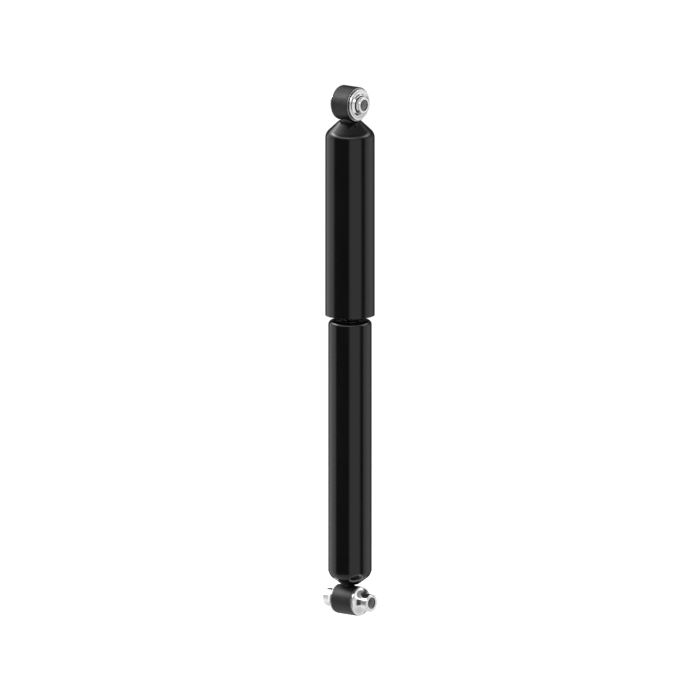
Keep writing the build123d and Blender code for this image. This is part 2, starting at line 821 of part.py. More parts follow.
def bushing_rubber(height, sleeve_radius, shell_bore, ring_width):
    """Rubber bonded between shell and sleeve, with a low flange over each shell end."""
    end = ring_width / 2 + shell_lip_thickness
    tip = end + rubber_flange_thickness
    bore = sleeve_radius + plate_clearance
    flange_radius = shell_bore + shell_wall + shell_lip_height - rubber_flange_inset
    with BuildPart() as rubber:
        with BuildSketch(eye_plane(height)):
            with BuildLine():
                edge_radius = flange_radius - rubber_edge_height
                right = RadiusArc((end, flange_radius), (tip, edge_radius), rubber_edge_round)
                left = RadiusArc((-tip, edge_radius), (-end, flange_radius), rubber_edge_round)
                Polyline(left @ 1, (-end, shell_bore), (end, shell_bore), right @ 0)
                Polyline(right @ 1, (tip, bore), (-tip, bore), left @ 0)
            make_face()
        revolve(axis=eye_axis(height))
    return rubber


def inner_sleeve(height, outer_radius, length):
    """Steel sleeve that the bolt clamps, chamfered outside at both ends."""
    with BuildPart() as sleeve:
        wall = outer_radius - bolt_radius
        with BuildSketch(eye_plane(height)):
            with Locations((0, outer_radius - wall / 2)):
                Rectangle(length, wall)
        revolve(axis=eye_axis(height))
        rims = sleeve.edges().filter_by(GeomType.CIRCLE).group_by(SortBy.RADIUS)[-1]
        chamfer(rims, sleeve_chamfer)
    return sleeve


# Upper eye
upper_ring_bore = upper_ring_od / 2 - upper_ring_wall
upper_shell_bore = upper_ring_bore - shell_wall
upper_eye_ring = eye_ring(eye_spacing, upper_ring_od / 2, upper_ring_wall, upper_ring_width)
upper_eye_ring.part.label = "upper_eye_ring"
export_step(upper_eye_ring.part, "parts/upper_eye_ring.step")

upper_bushing_shell = bushing_shell(eye_spacing, upper_ring_bore, upper_ring_width)
upper_bushing_shell.part.label = "upper_bushing_shell"
export_step(upper_bushing_shell.part, "parts/upper_bushing_shell.step")

upper_bushing_rubber = bushing_rubber(
    eye_spacing, upper_sleeve_od / 2, upper_shell_bore, upper_ring_width
)
upper_bushing_rubber.part.label = "upper_bushing_rubber"
export_step(upper_bushing_rubber.part, "parts/upper_bushing_rubber.step")

upper_eye_sleeve = inner_sleeve(eye_spacing, upper_sleeve_od / 2, upper_sleeve_length)
upper_eye_sleeve.part.label = "upper_eye_sleeve"
export_step(upper_eye_sleeve.part, "parts/upper_eye_sleeve.step")

# Upper washers: dished plates on the sleeve, each with a rim, a groove and a raised hub
with BuildPart() as upper_eye_washers:
    face_stack = shell_lip_thickness + rubber_flange_thickness + rubber_gap
    washer_foot = upper_ring_width / 2 + face_stack
    washer_face = washer_foot + upper_washer_thickness
    washer_radius = upper_washer_od / 2
    groove_outer = washer_radius - washer_rim_width
    hub_outer = groove_outer - washer_groove_width
    hub_middle = (hub_outer + upper_sleeve_od / 2) / 2
    rim_round = upper_washer_thickness / 3
    with BuildSketch(eye_plane(eye_spacing)):
        with BuildLine():
            Polyline(
                (washer_foot, upper_sleeve_od / 2),
                (washer_foot, washer_radius - rim_round),
                (washer_foot + rim_round, washer_radius),
                (washer_face - rim_round, washer_radius),
                (washer_face, washer_radius - rim_round),
                (washer_face, groove_outer),
                (washer_face - washer_groove_depth, groove_outer - washer_groove_depth),
                (washer_face - washer_groove_depth, hub_outer),
            )
            ThreePointArc(
                (washer_face - washer_groove_depth, hub_outer),
                (washer_face + washer_hub_height, hub_middle),
                (washer_face - washer_groove_depth / 2, upper_sleeve_od / 2),
            )
            Line(
                (washer_face - washer_groove_depth / 2, upper_sleeve_od / 2),
                (washer_foot, upper_sleeve_od / 2),
            )
        make_face()
    revolve(axis=eye_axis(eye_spacing))
    mirror(about=Plane.YZ)
upper_eye_washers.part.label = "upper_eye_washers"
export_step(upper_eye_washers.part, "parts/upper_eye_washers.step")

# Lower eye
lower_ring_bore = lower_ring_od / 2 - lower_ring_wall
lower_shell_bore = lower_ring_bore - shell_wall
lower_eye_ring = eye_ring(0, lower_ring_od / 2, lower_ring_wall, lower_ring_width)
lower_eye_ring.part.label = "lower_eye_ring"
export_step(lower_eye_ring.part, "parts/lower_eye_ring.step")

lower_bushing_shell = bushing_shell(0, lower_ring_bore, lower_ring_width)
lower_bushing_shell.part.label = "lower_bushing_shell"
export_step(lower_bushing_shell.part, "parts/lower_bushing_shell.step")

lower_bushing_rubber = bushing_rubber(0, lower_sleeve_od / 2, lower_shell_bore, lower_ring_width)
lower_bushing_rubber.part.label = "lower_bushing_rubber"
export_step(lower_bushing_rubber.part, "parts/lower_bushing_rubber.step")

lower_eye_sleeve = inner_sleeve(0, lower_sleeve_od / 2, lower_sleeve_length)
lower_eye_sleeve.part.label = "lower_eye_sleeve"
export_step(lower_eye_sleeve.part, "parts/lower_eye_sleeve.step")

# Lower flanges: trumpet spacers on the sleeve, flared towards the ring
with BuildPart() as lower_eye_flanges:
    flange_foot = lower_ring_width / 2 + face_stack
    flange_face = flange_foot + lower_flange_thickness
    flange_radius = lower_flange_od / 2
    flange_end = lower_sleeve_length / 2 - flange_setback
    neck_start = flange_end - flange_neck_length
    neck_radius = flange_neck_od / 2
    edge_round = lower_flange_thickness / 3
    with BuildSketch(eye_plane(0)):
        with BuildLine():
            cone_top = (flange_face, flange_radius - flange_rim_width)
            Polyline(
                (flange_foot, lower_sleeve_od / 2),
                (flange_foot, flange_radius - edge_round),
                (flange_foot + edge_round, flange_radius),
                (flange_face - edge_round, flange_radius),
                (flange_face, flange_radius - edge_round),
                cone_top,
            )
            cone = SagittaArc(cone_top, (neck_start, neck_radius), -flange_cone_sag)
            Polyline(
                cone @ 1,
                (flange_end - edge_round, neck_radius),
                (flange_end, neck_radius - edge_round),
                (flange_end, lower_sleeve_od / 2),
                (flange_foot, lower_sleeve_od / 2),
            )
        make_face()
    revolve(axis=eye_axis(0))
    mirror(about=Plane.YZ)
lower_eye_flanges.part.label = "lower_eye_flanges"
export_step(lower_eye_flanges.part, "parts/lower_eye_flanges.step")
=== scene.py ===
import logging
import math
from dataclasses import dataclass, field
from enum import Enum
from typing import Callable, Sequence

import bpy
import numpy as np
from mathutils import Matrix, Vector


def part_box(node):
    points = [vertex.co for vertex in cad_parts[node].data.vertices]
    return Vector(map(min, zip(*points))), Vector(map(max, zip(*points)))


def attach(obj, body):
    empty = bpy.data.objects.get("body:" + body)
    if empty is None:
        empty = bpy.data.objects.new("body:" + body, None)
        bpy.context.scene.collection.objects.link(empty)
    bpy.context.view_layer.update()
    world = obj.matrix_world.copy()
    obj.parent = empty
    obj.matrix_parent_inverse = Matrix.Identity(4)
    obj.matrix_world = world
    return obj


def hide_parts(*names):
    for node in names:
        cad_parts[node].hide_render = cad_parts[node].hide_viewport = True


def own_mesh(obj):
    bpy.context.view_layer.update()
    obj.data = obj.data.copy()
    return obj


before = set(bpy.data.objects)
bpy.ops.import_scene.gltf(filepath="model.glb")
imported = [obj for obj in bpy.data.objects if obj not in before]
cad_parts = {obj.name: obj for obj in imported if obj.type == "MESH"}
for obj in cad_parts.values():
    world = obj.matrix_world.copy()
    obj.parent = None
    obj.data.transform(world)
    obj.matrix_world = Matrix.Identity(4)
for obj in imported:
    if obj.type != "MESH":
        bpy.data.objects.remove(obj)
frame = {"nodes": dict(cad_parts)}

log = logging.getLogger("shock_absorber")

MM = 0.001
EDGE = 0.12 * MM
TINY = 1e-12
ARC_STEPS = 10
TURN_STEPS = 192
LIP_SPREAD = 0.5 * MM
LOWER_RING_WALL = 3.0 * MM
UPPER_RING_WALL = 3.2 * MM
LOWER_WELD = ((0.0, 5.6 * MM), (0.2, 5.05 * MM), (0.5, 4.7 * MM), (0.8, 5.05 * MM), (1.0, 5.6 * MM))
UPPER_WELD = ((0.0, 10.4 * MM), (0.5, 10.1 * MM), (1.0, 9.6 * MM))

Array = np.ndarray
Tone = tuple[float, float, float]
Band = tuple[float, float]
Socket = bpy.types.NodeSocket
Relief = Callable[[Array, Array], Array]


class Spin(Enum):
    """Line that a profile is turned about: the tubes stand upright and the bolts lie across."""

    UPRIGHT = "upright"
    ACROSS = "across"


class Slot(Enum):
    """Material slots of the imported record."""

    GLOSS_PAINT = "gloss_paint"
    SATIN_PAINT = "satin_paint"
    PLATED_STEEL = "plated_steel"
    HARD_CHROME = "hard_chrome"
    DRAWN_STEEL = "drawn_steel"
    SPRING_STEEL = "spring_steel"
    SINTERED_IRON = "sintered_iron"
    RUBBER = "rubber"
    BEARING_BRONZE = "bearing_bronze"
    BAND_POLYMER = "band_polymer"


@dataclass(frozen=True)
class Corner:
    """One corner of a turned profile: its place along the axis, its radius and how far it is rounded."""

    along: float
    radius: float
    fillet: float = EDGE


def unit(rows: Array) -> Array:
    """Rows scaled to length one."""
    return rows / np.maximum(np.linalg.norm(rows, axis=-1, keepdims=True), TINY)


def rounded_outline(corners: Sequence[Corner], steps: int = ARC_STEPS) -> tuple[Array, Array]:
    """Closed outline through rounded corners, with its outward normals.

    Each arc touches both edges of its corner: its centre lies on the corner's bisector, its
    fillet divided by the sine of half the corner's angle away. Points run along the arc by
    spherical interpolation between the two touching directions.

    Args:
        corners: Corners in order, either way round.
        steps: Points on each arc.

    Returns:
        Points and normals as rows of (along, radius), anticlockwise.
    """
    places = np.array([(corner.along, corner.radius) for corner in corners])
    fillets = np.array([corner.fillet for corner in corners])[:, None]
    following = np.roll(places, -1, axis=0)
    area = np.sum(places[:, 0] * following[:, 1] - following[:, 0] * places[:, 1])
    if area < 0:
        places, fillets = places[::-1], fillets[::-1]
    back = unit(np.roll(places, 1, axis=0) - places)
    ahead = unit(np.roll(places, -1, axis=0) - places)
    half = np.arccos(np.clip(np.sum(back * ahead, axis=1, keepdims=True), -1, 1)) / 2
    centres = places + unit(back + ahead) * fillets / np.sin(half)
    reach = fillets / np.tan(half)
    first = (places + back * reach - centres) / fillets
    last = (places + ahead * reach - centres) / fillets
    sweep = (np.pi - 2 * half)[:, None]
    share = np.linspace(0, 1, steps)[None, :, None]
    spokes = np.sin((1 - share) * sweep) * first[:, None] + np.sin(share * sweep) * last[:, None]
    spokes /= np.sin(sweep)
    bulge = np.sign(back[:, 1] * ahead[:, 0] - back[:, 0] * ahead[:, 1])[:, None, None]
    points = centres[:, None] + fillets[:, None] * spokes
    return points.reshape(-1, 2), (spokes * bulge).reshape(-1, 2)


def turned(outline: Array, angles: Array, spin: Spin, height: float = 0.0) -> Array:
    """Grid of an outline turned about an axis.

    Radius times cosine and sine of the turn gives the two coordinates across the axis, and
    the outline's first column the one along it.

    Args:
        outline: Rows of (along, radius).
        angles: Turn of each grid column.
        spin: Upright or across.
        height: Height of the axis when it lies across.

    Returns:
        Points as (outline row, turn, xyz).
    """
    along = np.broadcast_to(outline[:, :1], (len(outline), len(angles)))
    cosines = outline[:, 1:] * np.cos(angles)
    sines = outline[:, 1:] * np.sin(angles)
    if spin is Spin.UPRIGHT:
        return np.stack([cosines, sines, along], axis=-1)
    return np.stack([along, cosines, sines + height], axis=-1)


def grid_quads(rows: int, columns: int, closed_rows: bool, closed_columns: bool) -> Array:
    """Four point numbers of each face of a grid, wrapped round where it is closed."""
    row = np.arange(rows if closed_rows else rows - 1)[:, None]
    column = np.arange(columns if closed_columns else columns - 1)[None, :]
    below, above = row * columns, (row + 1) % rows * columns
    right = (column + 1) % columns
    quads = np.stack([below + column, below + right, above + right, above + column], axis=-1)
    return quads.reshape(-1, 4)


def signed_volume(points: Array, quads: Array) -> float:
    """Six times the volume inside closed faces, negative when they point inwards."""
    a, b, c, d = (points[quads[:, k]] for k in range(4))
    first = np.einsum("ij,ij->", a, np.cross(b, c))
    second = np.einsum("ij,ij->", a, np.cross(c, d))
    return float(first + second)


@dataclass
class Surface:
    """Points, faces and, where they are known exactly, normals of one mesh."""

    points: Array
    quads: Array
    normals: Array | None = None

    @classmethod
    def from_grid(
        cls,
        grid: Array,
        closed_rows: bool = True,
        closed_columns: bool = True,
        normals: Array | None = None,
    ) -> "Surface":
        """Surface of a grid, its faces turned outwards where it is closed both ways."""
        quads = grid_quads(grid.shape[0], grid.shape[1], closed_rows, closed_columns)
        points = grid.reshape(-1, 3)
        if signed_volume(points, quads) < 0:
            quads = quads[:, ::-1]
        return cls(points, quads, None if normals is None else normals.reshape(-1, 3))

    def joined(self, other: "Surface") -> "Surface":
        """This surface and another as one mesh of two shells."""
        normals = None
        if self.normals is not None and other.normals is not None:
            normals = np.concatenate([self.normals, other.normals])
        quads = np.concatenate([self.quads, other.quads + len(self.points)])
        return Surface(np.concatenate([self.points, other.points]), quads, normals)

    def mirrored(self) -> "Surface":
        """The same surface on the other side of the middle plane, faces still outwards."""
        flip = np.array([-1.0, 1.0, 1.0])
        normals = None if self.normals is None else self.normals * flip
        return Surface(self.points * flip, self.quads[:, ::-1], normals)

    def piece(self, name: str) -> bpy.types.Object:
        """Mesh object of this surface, smooth shaded, at the origin."""
        mesh = bpy.data.meshes.new(name)
        mesh.from_pydata(self.points.tolist(), [], self.quads.tolist())
        mesh.polygons.foreach_set("use_smooth", np.ones(len(mesh.polygons), dtype=bool))
        if self.normals is not None:
            mesh.normals_split_custom_set_from_vertices(self.normals.tolist())
        mesh.update()
        made = bpy.data.objects.new(name, mesh)
        bpy.context.scene.collection.objects.link(made)
        return made


def lathe(
    corners: Sequence[Corner],
    spin: Spin,
    height: float = 0.0,
    relief: Relief | None = None,
    steps: int = ARC_STEPS,
) -> Surface:
    """Closed solid of a rounded outline turned about its axis.

    Args:
        corners: The outline's corners.
        spin: Line that it turns about.
        height: Height of that line when it lies across.
        relief: How far the surface stands out along its normal, from the outline's points
            and the turn.
        steps: Points on each corner's arc.

    Returns:
        The surface, with exact normals when it has no relief.
    """
    outline, slopes = rounded_outline(corners, steps)
    angles = np.linspace(0, 2 * np.pi, TURN_STEPS, endpoint=False)
    grid = turned(outline, angles, spin, height)
    normals = turned(slopes, angles, spin)
    if relief is None:
        return Surface.from_grid(grid, normals=normals)
    return Surface.from_grid(grid + normals * relief(outline, angles)[..., None])


def ripple(angles: Array, height: float, seed: int) -> Array:
    """Uneven wave round a turn: sines of 2, 3, 5, 9 and 14 periods with seeded phases, each lower."""
    counts = np.array([2, 3, 5, 9, 14])
    phases = np.random.default_rng(seed).uniform(0, 2 * np.pi, len(counts))
    shares = np.array([0.34, 0.26, 0.2, 0.12, 0.08])
    return height * np.sum(shares * np.sin(angles[:, None] * counts + phases), axis=1)


def waved(surface: Surface, axis_height: float, start: float, lift: float, seed: int) -> Surface:
    """Surface whose outermost rim, turned about a bolt, is drawn out unevenly.

    A point's distance from the bolt grows by the lift times one plus the ripple of its turn,
    from nothing at the start radius to all of it one LIP_SPREAD further out.

    Args:
        surface: Surface turned about a line across.
        axis_height: Height of that line.
        start: Radius where the drawing out begins.
        lift: Its mean at the rim.
        seed: Seed of the ripple.

    Returns:
        The changed surface, without exact normals.
    """
    across = surface.points[:, 1:] - np.array([0.0, axis_height])
    radius = np.linalg.norm(across, axis=1)
    turn = np.arctan2(across[:, 1], across[:, 0])
    share = np.clip((radius - start) / LIP_SPREAD, 0, 1)
    drawn = radius + share * (lift + ripple(turn, lift, seed))
    moved = across * (drawn / radius)[:, None] + np.array([0.0, axis_height])
    return Surface(np.column_stack([surface.points[:, 0], moved]), surface.quads)


def raised_rim(start: float, height: float, seed: int) -> Relief:
    """Relief that leaves a surface uneven where its radius passes a start, and true below it."""

    def relief(outline: Array, angles: Array) -> Array:
        """Ripple of the turn times how far past the start each outline point lies, up to 1 mm."""
        share = np.clip((outline[:, 1:] - start) / MM, 0, 1)
        return share * ripple(angles, height, seed)[None, :]

    return relief


def dished(first: Corner, last: Corner, sag: float, count: int = 5) -> list[Corner]:
    """Corners along a shallow arc between two others.

    The arc is a parabola: its distance from the straight line is four times the sag times
    t times one minus t.

    Args:
        first: Corner that it leaves.
        last: Corner that it reaches.
        sag: Distance from the straight line in the middle, positive to its left.
        count: Corners on it.

    Returns:
        The corners between the two.
    """
    t = np.linspace(0, 1, count + 2)[1:-1, None]
    start, end = np.array([first.along, first.radius]), np.array([last.along, last.radius])
    run = end - start
    left = np.array([-run[1], run[0]]) / np.linalg.norm(run)
    places = start + t * run + 4 * sag * t * (1 - t) * left
    return [Corner(along, radius, abs(sag) * 2) for along, radius in places]


def both_ways(right: Sequence[Corner]) -> list[Corner]:
    """Corners of a right half followed by those of its mirror image, which close the outline."""
    left = [Corner(-corner.along, corner.radius, corner.fillet) for corner in reversed(right)]
    return [*right, *left]


@dataclass(frozen=True)
class Grain:
    """Noise: its features per metre, its detail and how rough that detail is."""

    scale: float
    detail: float = 3.0
    roughness: float = 0.5


def set_inputs(node: bpy.types.Node, **values: float | Sequence[float]) -> None:
    """Sets constants on a node's sockets, named with underscores for spaces."""
    for name, value in values.items():
        node.inputs[name.replace("_", " ")].default_value = value


def new_node(tree: bpy.types.NodeTree, kind: str, **values: float | Sequence[float]) -> bpy.types.Node:
    """Adds a shader node of a kind and sets its constants."""
    node = tree.nodes.new(f"ShaderNode{kind}")
    set_inputs(node, **values)
    return node


class Board:
    """Node tree of one material, with short calls for the nodes that the finishes share."""

    def __init__(self, name: str) -> None:
        """Starts a material with a Principled shader that reads Object coordinates."""
        self.material = bpy.data.materials.new(name)
        self.material.use_nodes = True
        self.tree = self.material.node_tree
        self.tree.nodes.clear()
        output = new_node(self.tree, "OutputMaterial")
        self.shader = new_node(self.tree, "BsdfPrincipled")
        self.link(self.shader.outputs["BSDF"], output.inputs["Surface"])
        self.place = new_node(self.tree, "TexCoord").outputs["Object"]

    def link(self, start: Socket, end: Socket) -> None:
        """Joins two sockets."""
        self.tree.links.new(start, end)

    def put(self, **values: float) -> None:
        """Sets constants on the shader's own sockets."""
        set_inputs(self.shader, **values)

    def feed(self, name: str, source: Socket) -> None:
        """Feeds one of the shader's sockets."""
        self.link(source, self.shader.inputs[name])

    def stretched(self, scale: tuple[float, float, float]) -> Socket:
        """Object coordinates scaled along each axis."""
        mapping = new_node(self.tree, "Mapping", Scale=scale)
        self.link(self.place, mapping.inputs["Vector"])
        return mapping.outputs["Vector"]

    def noise(self, grain: Grain, place: Socket | None = None) -> Socket:
        """Noise of one grain, over Object coordinates unless a place is given."""
        node = new_node(self.tree, "TexNoise", Scale=grain.scale, Detail=grain.detail)
        set_inputs(node, Roughness=grain.roughness)
        self.link(place or self.place, node.inputs["Vector"])
        return node.outputs["Fac"]

    def remap(self, source: Socket, band: Band, target: Band = (0.0, 1.0)) -> Socket:
        """Source stretched from one band to another and held at its ends."""
        node = new_node(self.tree, "MapRange", From_Min=band[0], From_Max=band[1])
        set_inputs(node, To_Min=target[0], To_Max=target[1])
        self.link(source, node.inputs["Value"])
        return node.outputs["Result"]

    def within(self, source: Socket, edge: float, fade: float) -> Socket:
        """Share that is full up to an edge and falls to nothing over the fade past it."""
        return self.remap(source, (edge, edge + fade), (1.0, 0.0))

    def math(self, kind: str, first: Socket | float, second: Socket | float = 0.0) -> Socket:
        """One step of arithmetic on sockets or numbers."""
        node = new_node(self.tree, "Math")
        node.operation = kind
        for socket, value in zip(node.inputs, (first, second)):
            if isinstance(value, (int, float)):
                socket.default_value = value
            else:
                self.link(value, socket)
        return node.outputs["Value"]

    def length(self, first: Socket, second: Socket) -> Socket:
        """Root of the sum of two squares."""
        squares = [self.math("MULTIPLY", side, side) for side in (first, second)]
        return self.math("SQRT", self.math("ADD", *squares))

    def offset(self, middle: Vector, direction: Vector) -> Socket:
        """How far a place lies from a point along a direction: the dot product of the two."""
        away = new_node(self.tree, "VectorMath")
        away.operation = "SUBTRACT"
        away.inputs[1].default_value = middle
        self.link(self.place, away.inputs[0])
        dot = new_node(self.tree, "VectorMath")
        dot.operation = "DOT_PRODUCT"
        dot.inputs[1].default_value = direction
        self.link(away.outputs["Vector"], dot.inputs[0])
        return dot.outputs["Value"]

    def bolt_distance(self, heights: Sequence[float], waist: float) -> Socket:
        """Distance from the nearer of two bolt axes.

        Below the waist height it is the length of (0, y, z minus the first height), above it
        the same with the second height.

        Args:
            heights: Heights of the lower and the upper bolt axis.
            waist: Height that parts them.

        Returns:
            The distance in metres.
        """
        _, y, z = self.coordinates()
        above = self.math("GREATER_THAN", z, waist)
        lift = self.math("ADD", self.math("MULTIPLY", above, heights[1] - heights[0]), heights[0])
        return self.length(y, self.math("SUBTRACT", z, lift))

    def coordinates(self) -> Sequence[Socket]:
        """Object coordinates, one socket for each axis."""
        split = new_node(self.tree, "SeparateXYZ")
        self.link(self.place, split.inputs["Vector"])
        return split.outputs

    def blend(self, share: Socket, first: Tone | Socket, second: Tone | Socket) -> Socket:
        """Colour between two, by a share from 0 to 1."""
        node = new_node(self.tree, "Mix")
        node.data_type = "RGBA"
        self.link(share, node.inputs["Factor"])
        sockets = [s for s in node.inputs if s.type == "RGBA"]
        for socket, value in zip(sockets, (first, second)):
            if isinstance(value, tuple):
                socket.default_value = (*value, 1.0)
            else:
                self.link(value, socket)
        return next(s for s in node.outputs if s.type == "RGBA")

    def bump(self, *layers: tuple[Socket, float]) -> None:
        """Surface relief: each layer is a height from 0 to 1 and how tall it is in metres."""
        previous = None
        for source, tall in layers:
            node = new_node(self.tree, "Bump", Strength=1.0, Distance=tall)
            self.link(source, node.inputs["Height"])
            if previous is not None:
                self.link(previous, node.inputs["Normal"])
            previous = node.outputs["Normal"]
        self.feed("Normal", previous)


@dataclass(frozen=True)
class Finish:
    """A finish: its slot in the record, two tones that it wanders between, and its roughness.

    Tone and roughness follow a noise, each between the two values of its band.
    """

    slot: Slot
    tone: Tone
    second_tone: Tone
    roughness: float
    roughness_range: float
    tone_band: Band = (0.3, 0.7)
    rough_band: Band = (0.3, 0.7)

    def material(self) -> bpy.types.Material:
        """Builds the material once and returns it."""
        board = Board(self.slot.value)
        self.dress(board)
        return board.material

    def tint(self, board: Board, source: Socket) -> Socket:
        """Colour that goes from the first tone to the second as a noise passes its band."""
        return board.blend(board.remap(source, self.tone_band), self.tone, self.second_tone)

    def wander(self, board: Board, source: Socket) -> Socket:
        """Roughness that goes through its range as a noise passes its band."""
        target = (self.roughness, self.roughness + self.roughness_range)
        return board.remap(source, self.rough_band, target)

    def dress(self, board: Board) -> None:
        """Adds this finish's nodes."""
        raise NotImplementedError


@dataclass(frozen=True)
class GlossPaint(Finish):
    """Sprayed black gloss: deep colour, faint orange peel, dust nibs and fine handling marks."""

    tone_band: Band = (0.35, 0.65)
    rough_band: Band = (0.0, 1.0)
    cloud: Grain = Grain(28, 4)
    handling: Grain = Grain(55, 5, 0.65)
    handling_band: Band = (0.35, 0.7)
    handling_share: float = 0.7
    marks: Grain = Grain(300, 2, 0.6)
    marks_stretch: tuple[float, float, float] = (1, 1, 0.12)
    marks_band: Band = (0.6, 0.8)
    marks_share: float = 0.3
    peel: Grain = Grain(1 / (1.4 * MM), 1.5)
    peel_height: float = 0.0012 * MM
    nibs: Grain = Grain(1500, 0)
    nibs_band: Band = (0.78, 0.84)
    nib_height: float = 0.004 * MM
    sheen: float = 0.36
    refraction: float = 1.5

    def dress(self, board: Board) -> None:
        """Colour wanders slowly, roughness follows handling marks, relief is orange peel and nibs."""
        colour = self.tint(board, board.noise(self.cloud))
        board.feed("Base Color", self.with_painted_highlight(board, colour))
        handled = board.remap(board.noise(self.handling), self.handling_band, (0, self.handling_share))
        marks = board.noise(self.marks, board.stretched(self.marks_stretch))
        marks = board.remap(marks, self.marks_band, (0, self.marks_share))
        board.feed("Roughness", self.wander(board, board.math("ADD", handled, marks)))
        board.put(Specular_IOR_Level=self.sheen, IOR=self.refraction)
        nibs = board.remap(board.noise(self.nibs), self.nibs_band)
        board.bump((board.noise(self.peel), self.peel_height), (nibs, self.nib_height))

    def with_painted_highlight(self, board: Board, colour: Socket) -> Socket:
        """Colour of the paint, with no painted highlight here."""
        return colour


@dataclass(frozen=True)
class CapPaint(GlossPaint):
    """Gloss paint of the base cap, with a painted highlight in grey along the rim of its oblong recess."""

    foot: float = 0.0
    radius: float = 20.23 * MM
    rise: float = 7.97 * MM
    bearing: float = math.radians(-30)
    slope: float = math.radians(45)
    tilt: float = math.radians(12)
    straight: float = 2.25 * MM
    round_radius: float = 4.5 * MM
    rim_offset: float = 0.45 * MM
    rim_width: float = 0.9 * MM
    rim_core: float = 0.3
    rim_highlight_tone: Tone = (0.24, 0.24, 0.24)
    highlight_waver: Grain = Grain(500)

    def axes(self) -> tuple[Vector, Vector, Vector]:
        """The recess's middle and the directions along and across it."""
        turn, slope = self.bearing, self.slope
        middle = Vector((self.radius * math.cos(turn), self.radius * math.sin(turn), self.foot + self.rise))
        level = Vector((-math.sin(turn), math.cos(turn), 0))
        down = Vector((math.cos(slope) * math.cos(turn), math.cos(slope) * math.sin(turn), -math.sin(slope)))
        upward = down.cross(level)
        along = level * math.cos(self.tilt) + upward * math.sin(self.tilt)
        return middle, along, down.cross(along)

    def with_painted_highlight(self, board: Board, colour: Socket) -> Socket:
        """Colour with the rim's painted highlight, in grey.

        The rim's share falls with the distance from a line round the recess. That distance is
        the length of (how far past the straight part, how far across), less the round's radius.
        """
        middle, along, across = self.axes()
        past = board.math("SUBTRACT", board.math("ABSOLUTE", board.offset(middle, along)), self.straight)
        reach = board.length(board.math("MAXIMUM", past, 0.0), board.offset(middle, across))
        outside = board.math("SUBTRACT", reach, self.round_radius + self.rim_offset)
        uneven = board.math("MULTIPLY", board.math("SUBTRACT", board.noise(self.highlight_waver), 0.5), self.rim_offset)
        distance = board.math("ABSOLUTE", board.math("ADD", outside, uneven))
        share = board.remap(distance, (self.rim_width * self.rim_core, self.rim_width), (1, 0))
        # Grey painted highlight along the recess's rim.
        return board.blend(share, colour, self.rim_highlight_tone)


@dataclass(frozen=True)
class SatinPaint(Finish):
    """Satin black on the welded eyes: coarser, duller, with pits from the steel below."""

    tone_band: Band = (0.35, 0.7)
    cloud: Grain = Grain(90, 5, 0.6)
    skin: Grain = Grain(1 / (0.9 * MM), 4, 0.6)
    skin_height: float = 0.012 * MM
    pits: Grain = Grain(700, 2)
    pits_band: Band = (0.28, 0.4)
    pit_height: float = 0.02 * MM
    sheen: float = 0.32

    def dress(self, board: Board) -> None:
        """Colour and roughness wander together, relief is soft grain with sparse pits."""
        cloud = board.noise(self.cloud)
        board.feed("Base Color", self.tint(board, cloud))
        board.feed("Roughness", self.wander(board, cloud))
        board.put(Specular_IOR_Level=self.sheen)
        pits = board.remap(board.noise(self.pits), self.pits_band)
        board.bump((board.noise(self.skin), self.skin_height), (pits, self.pit_height))


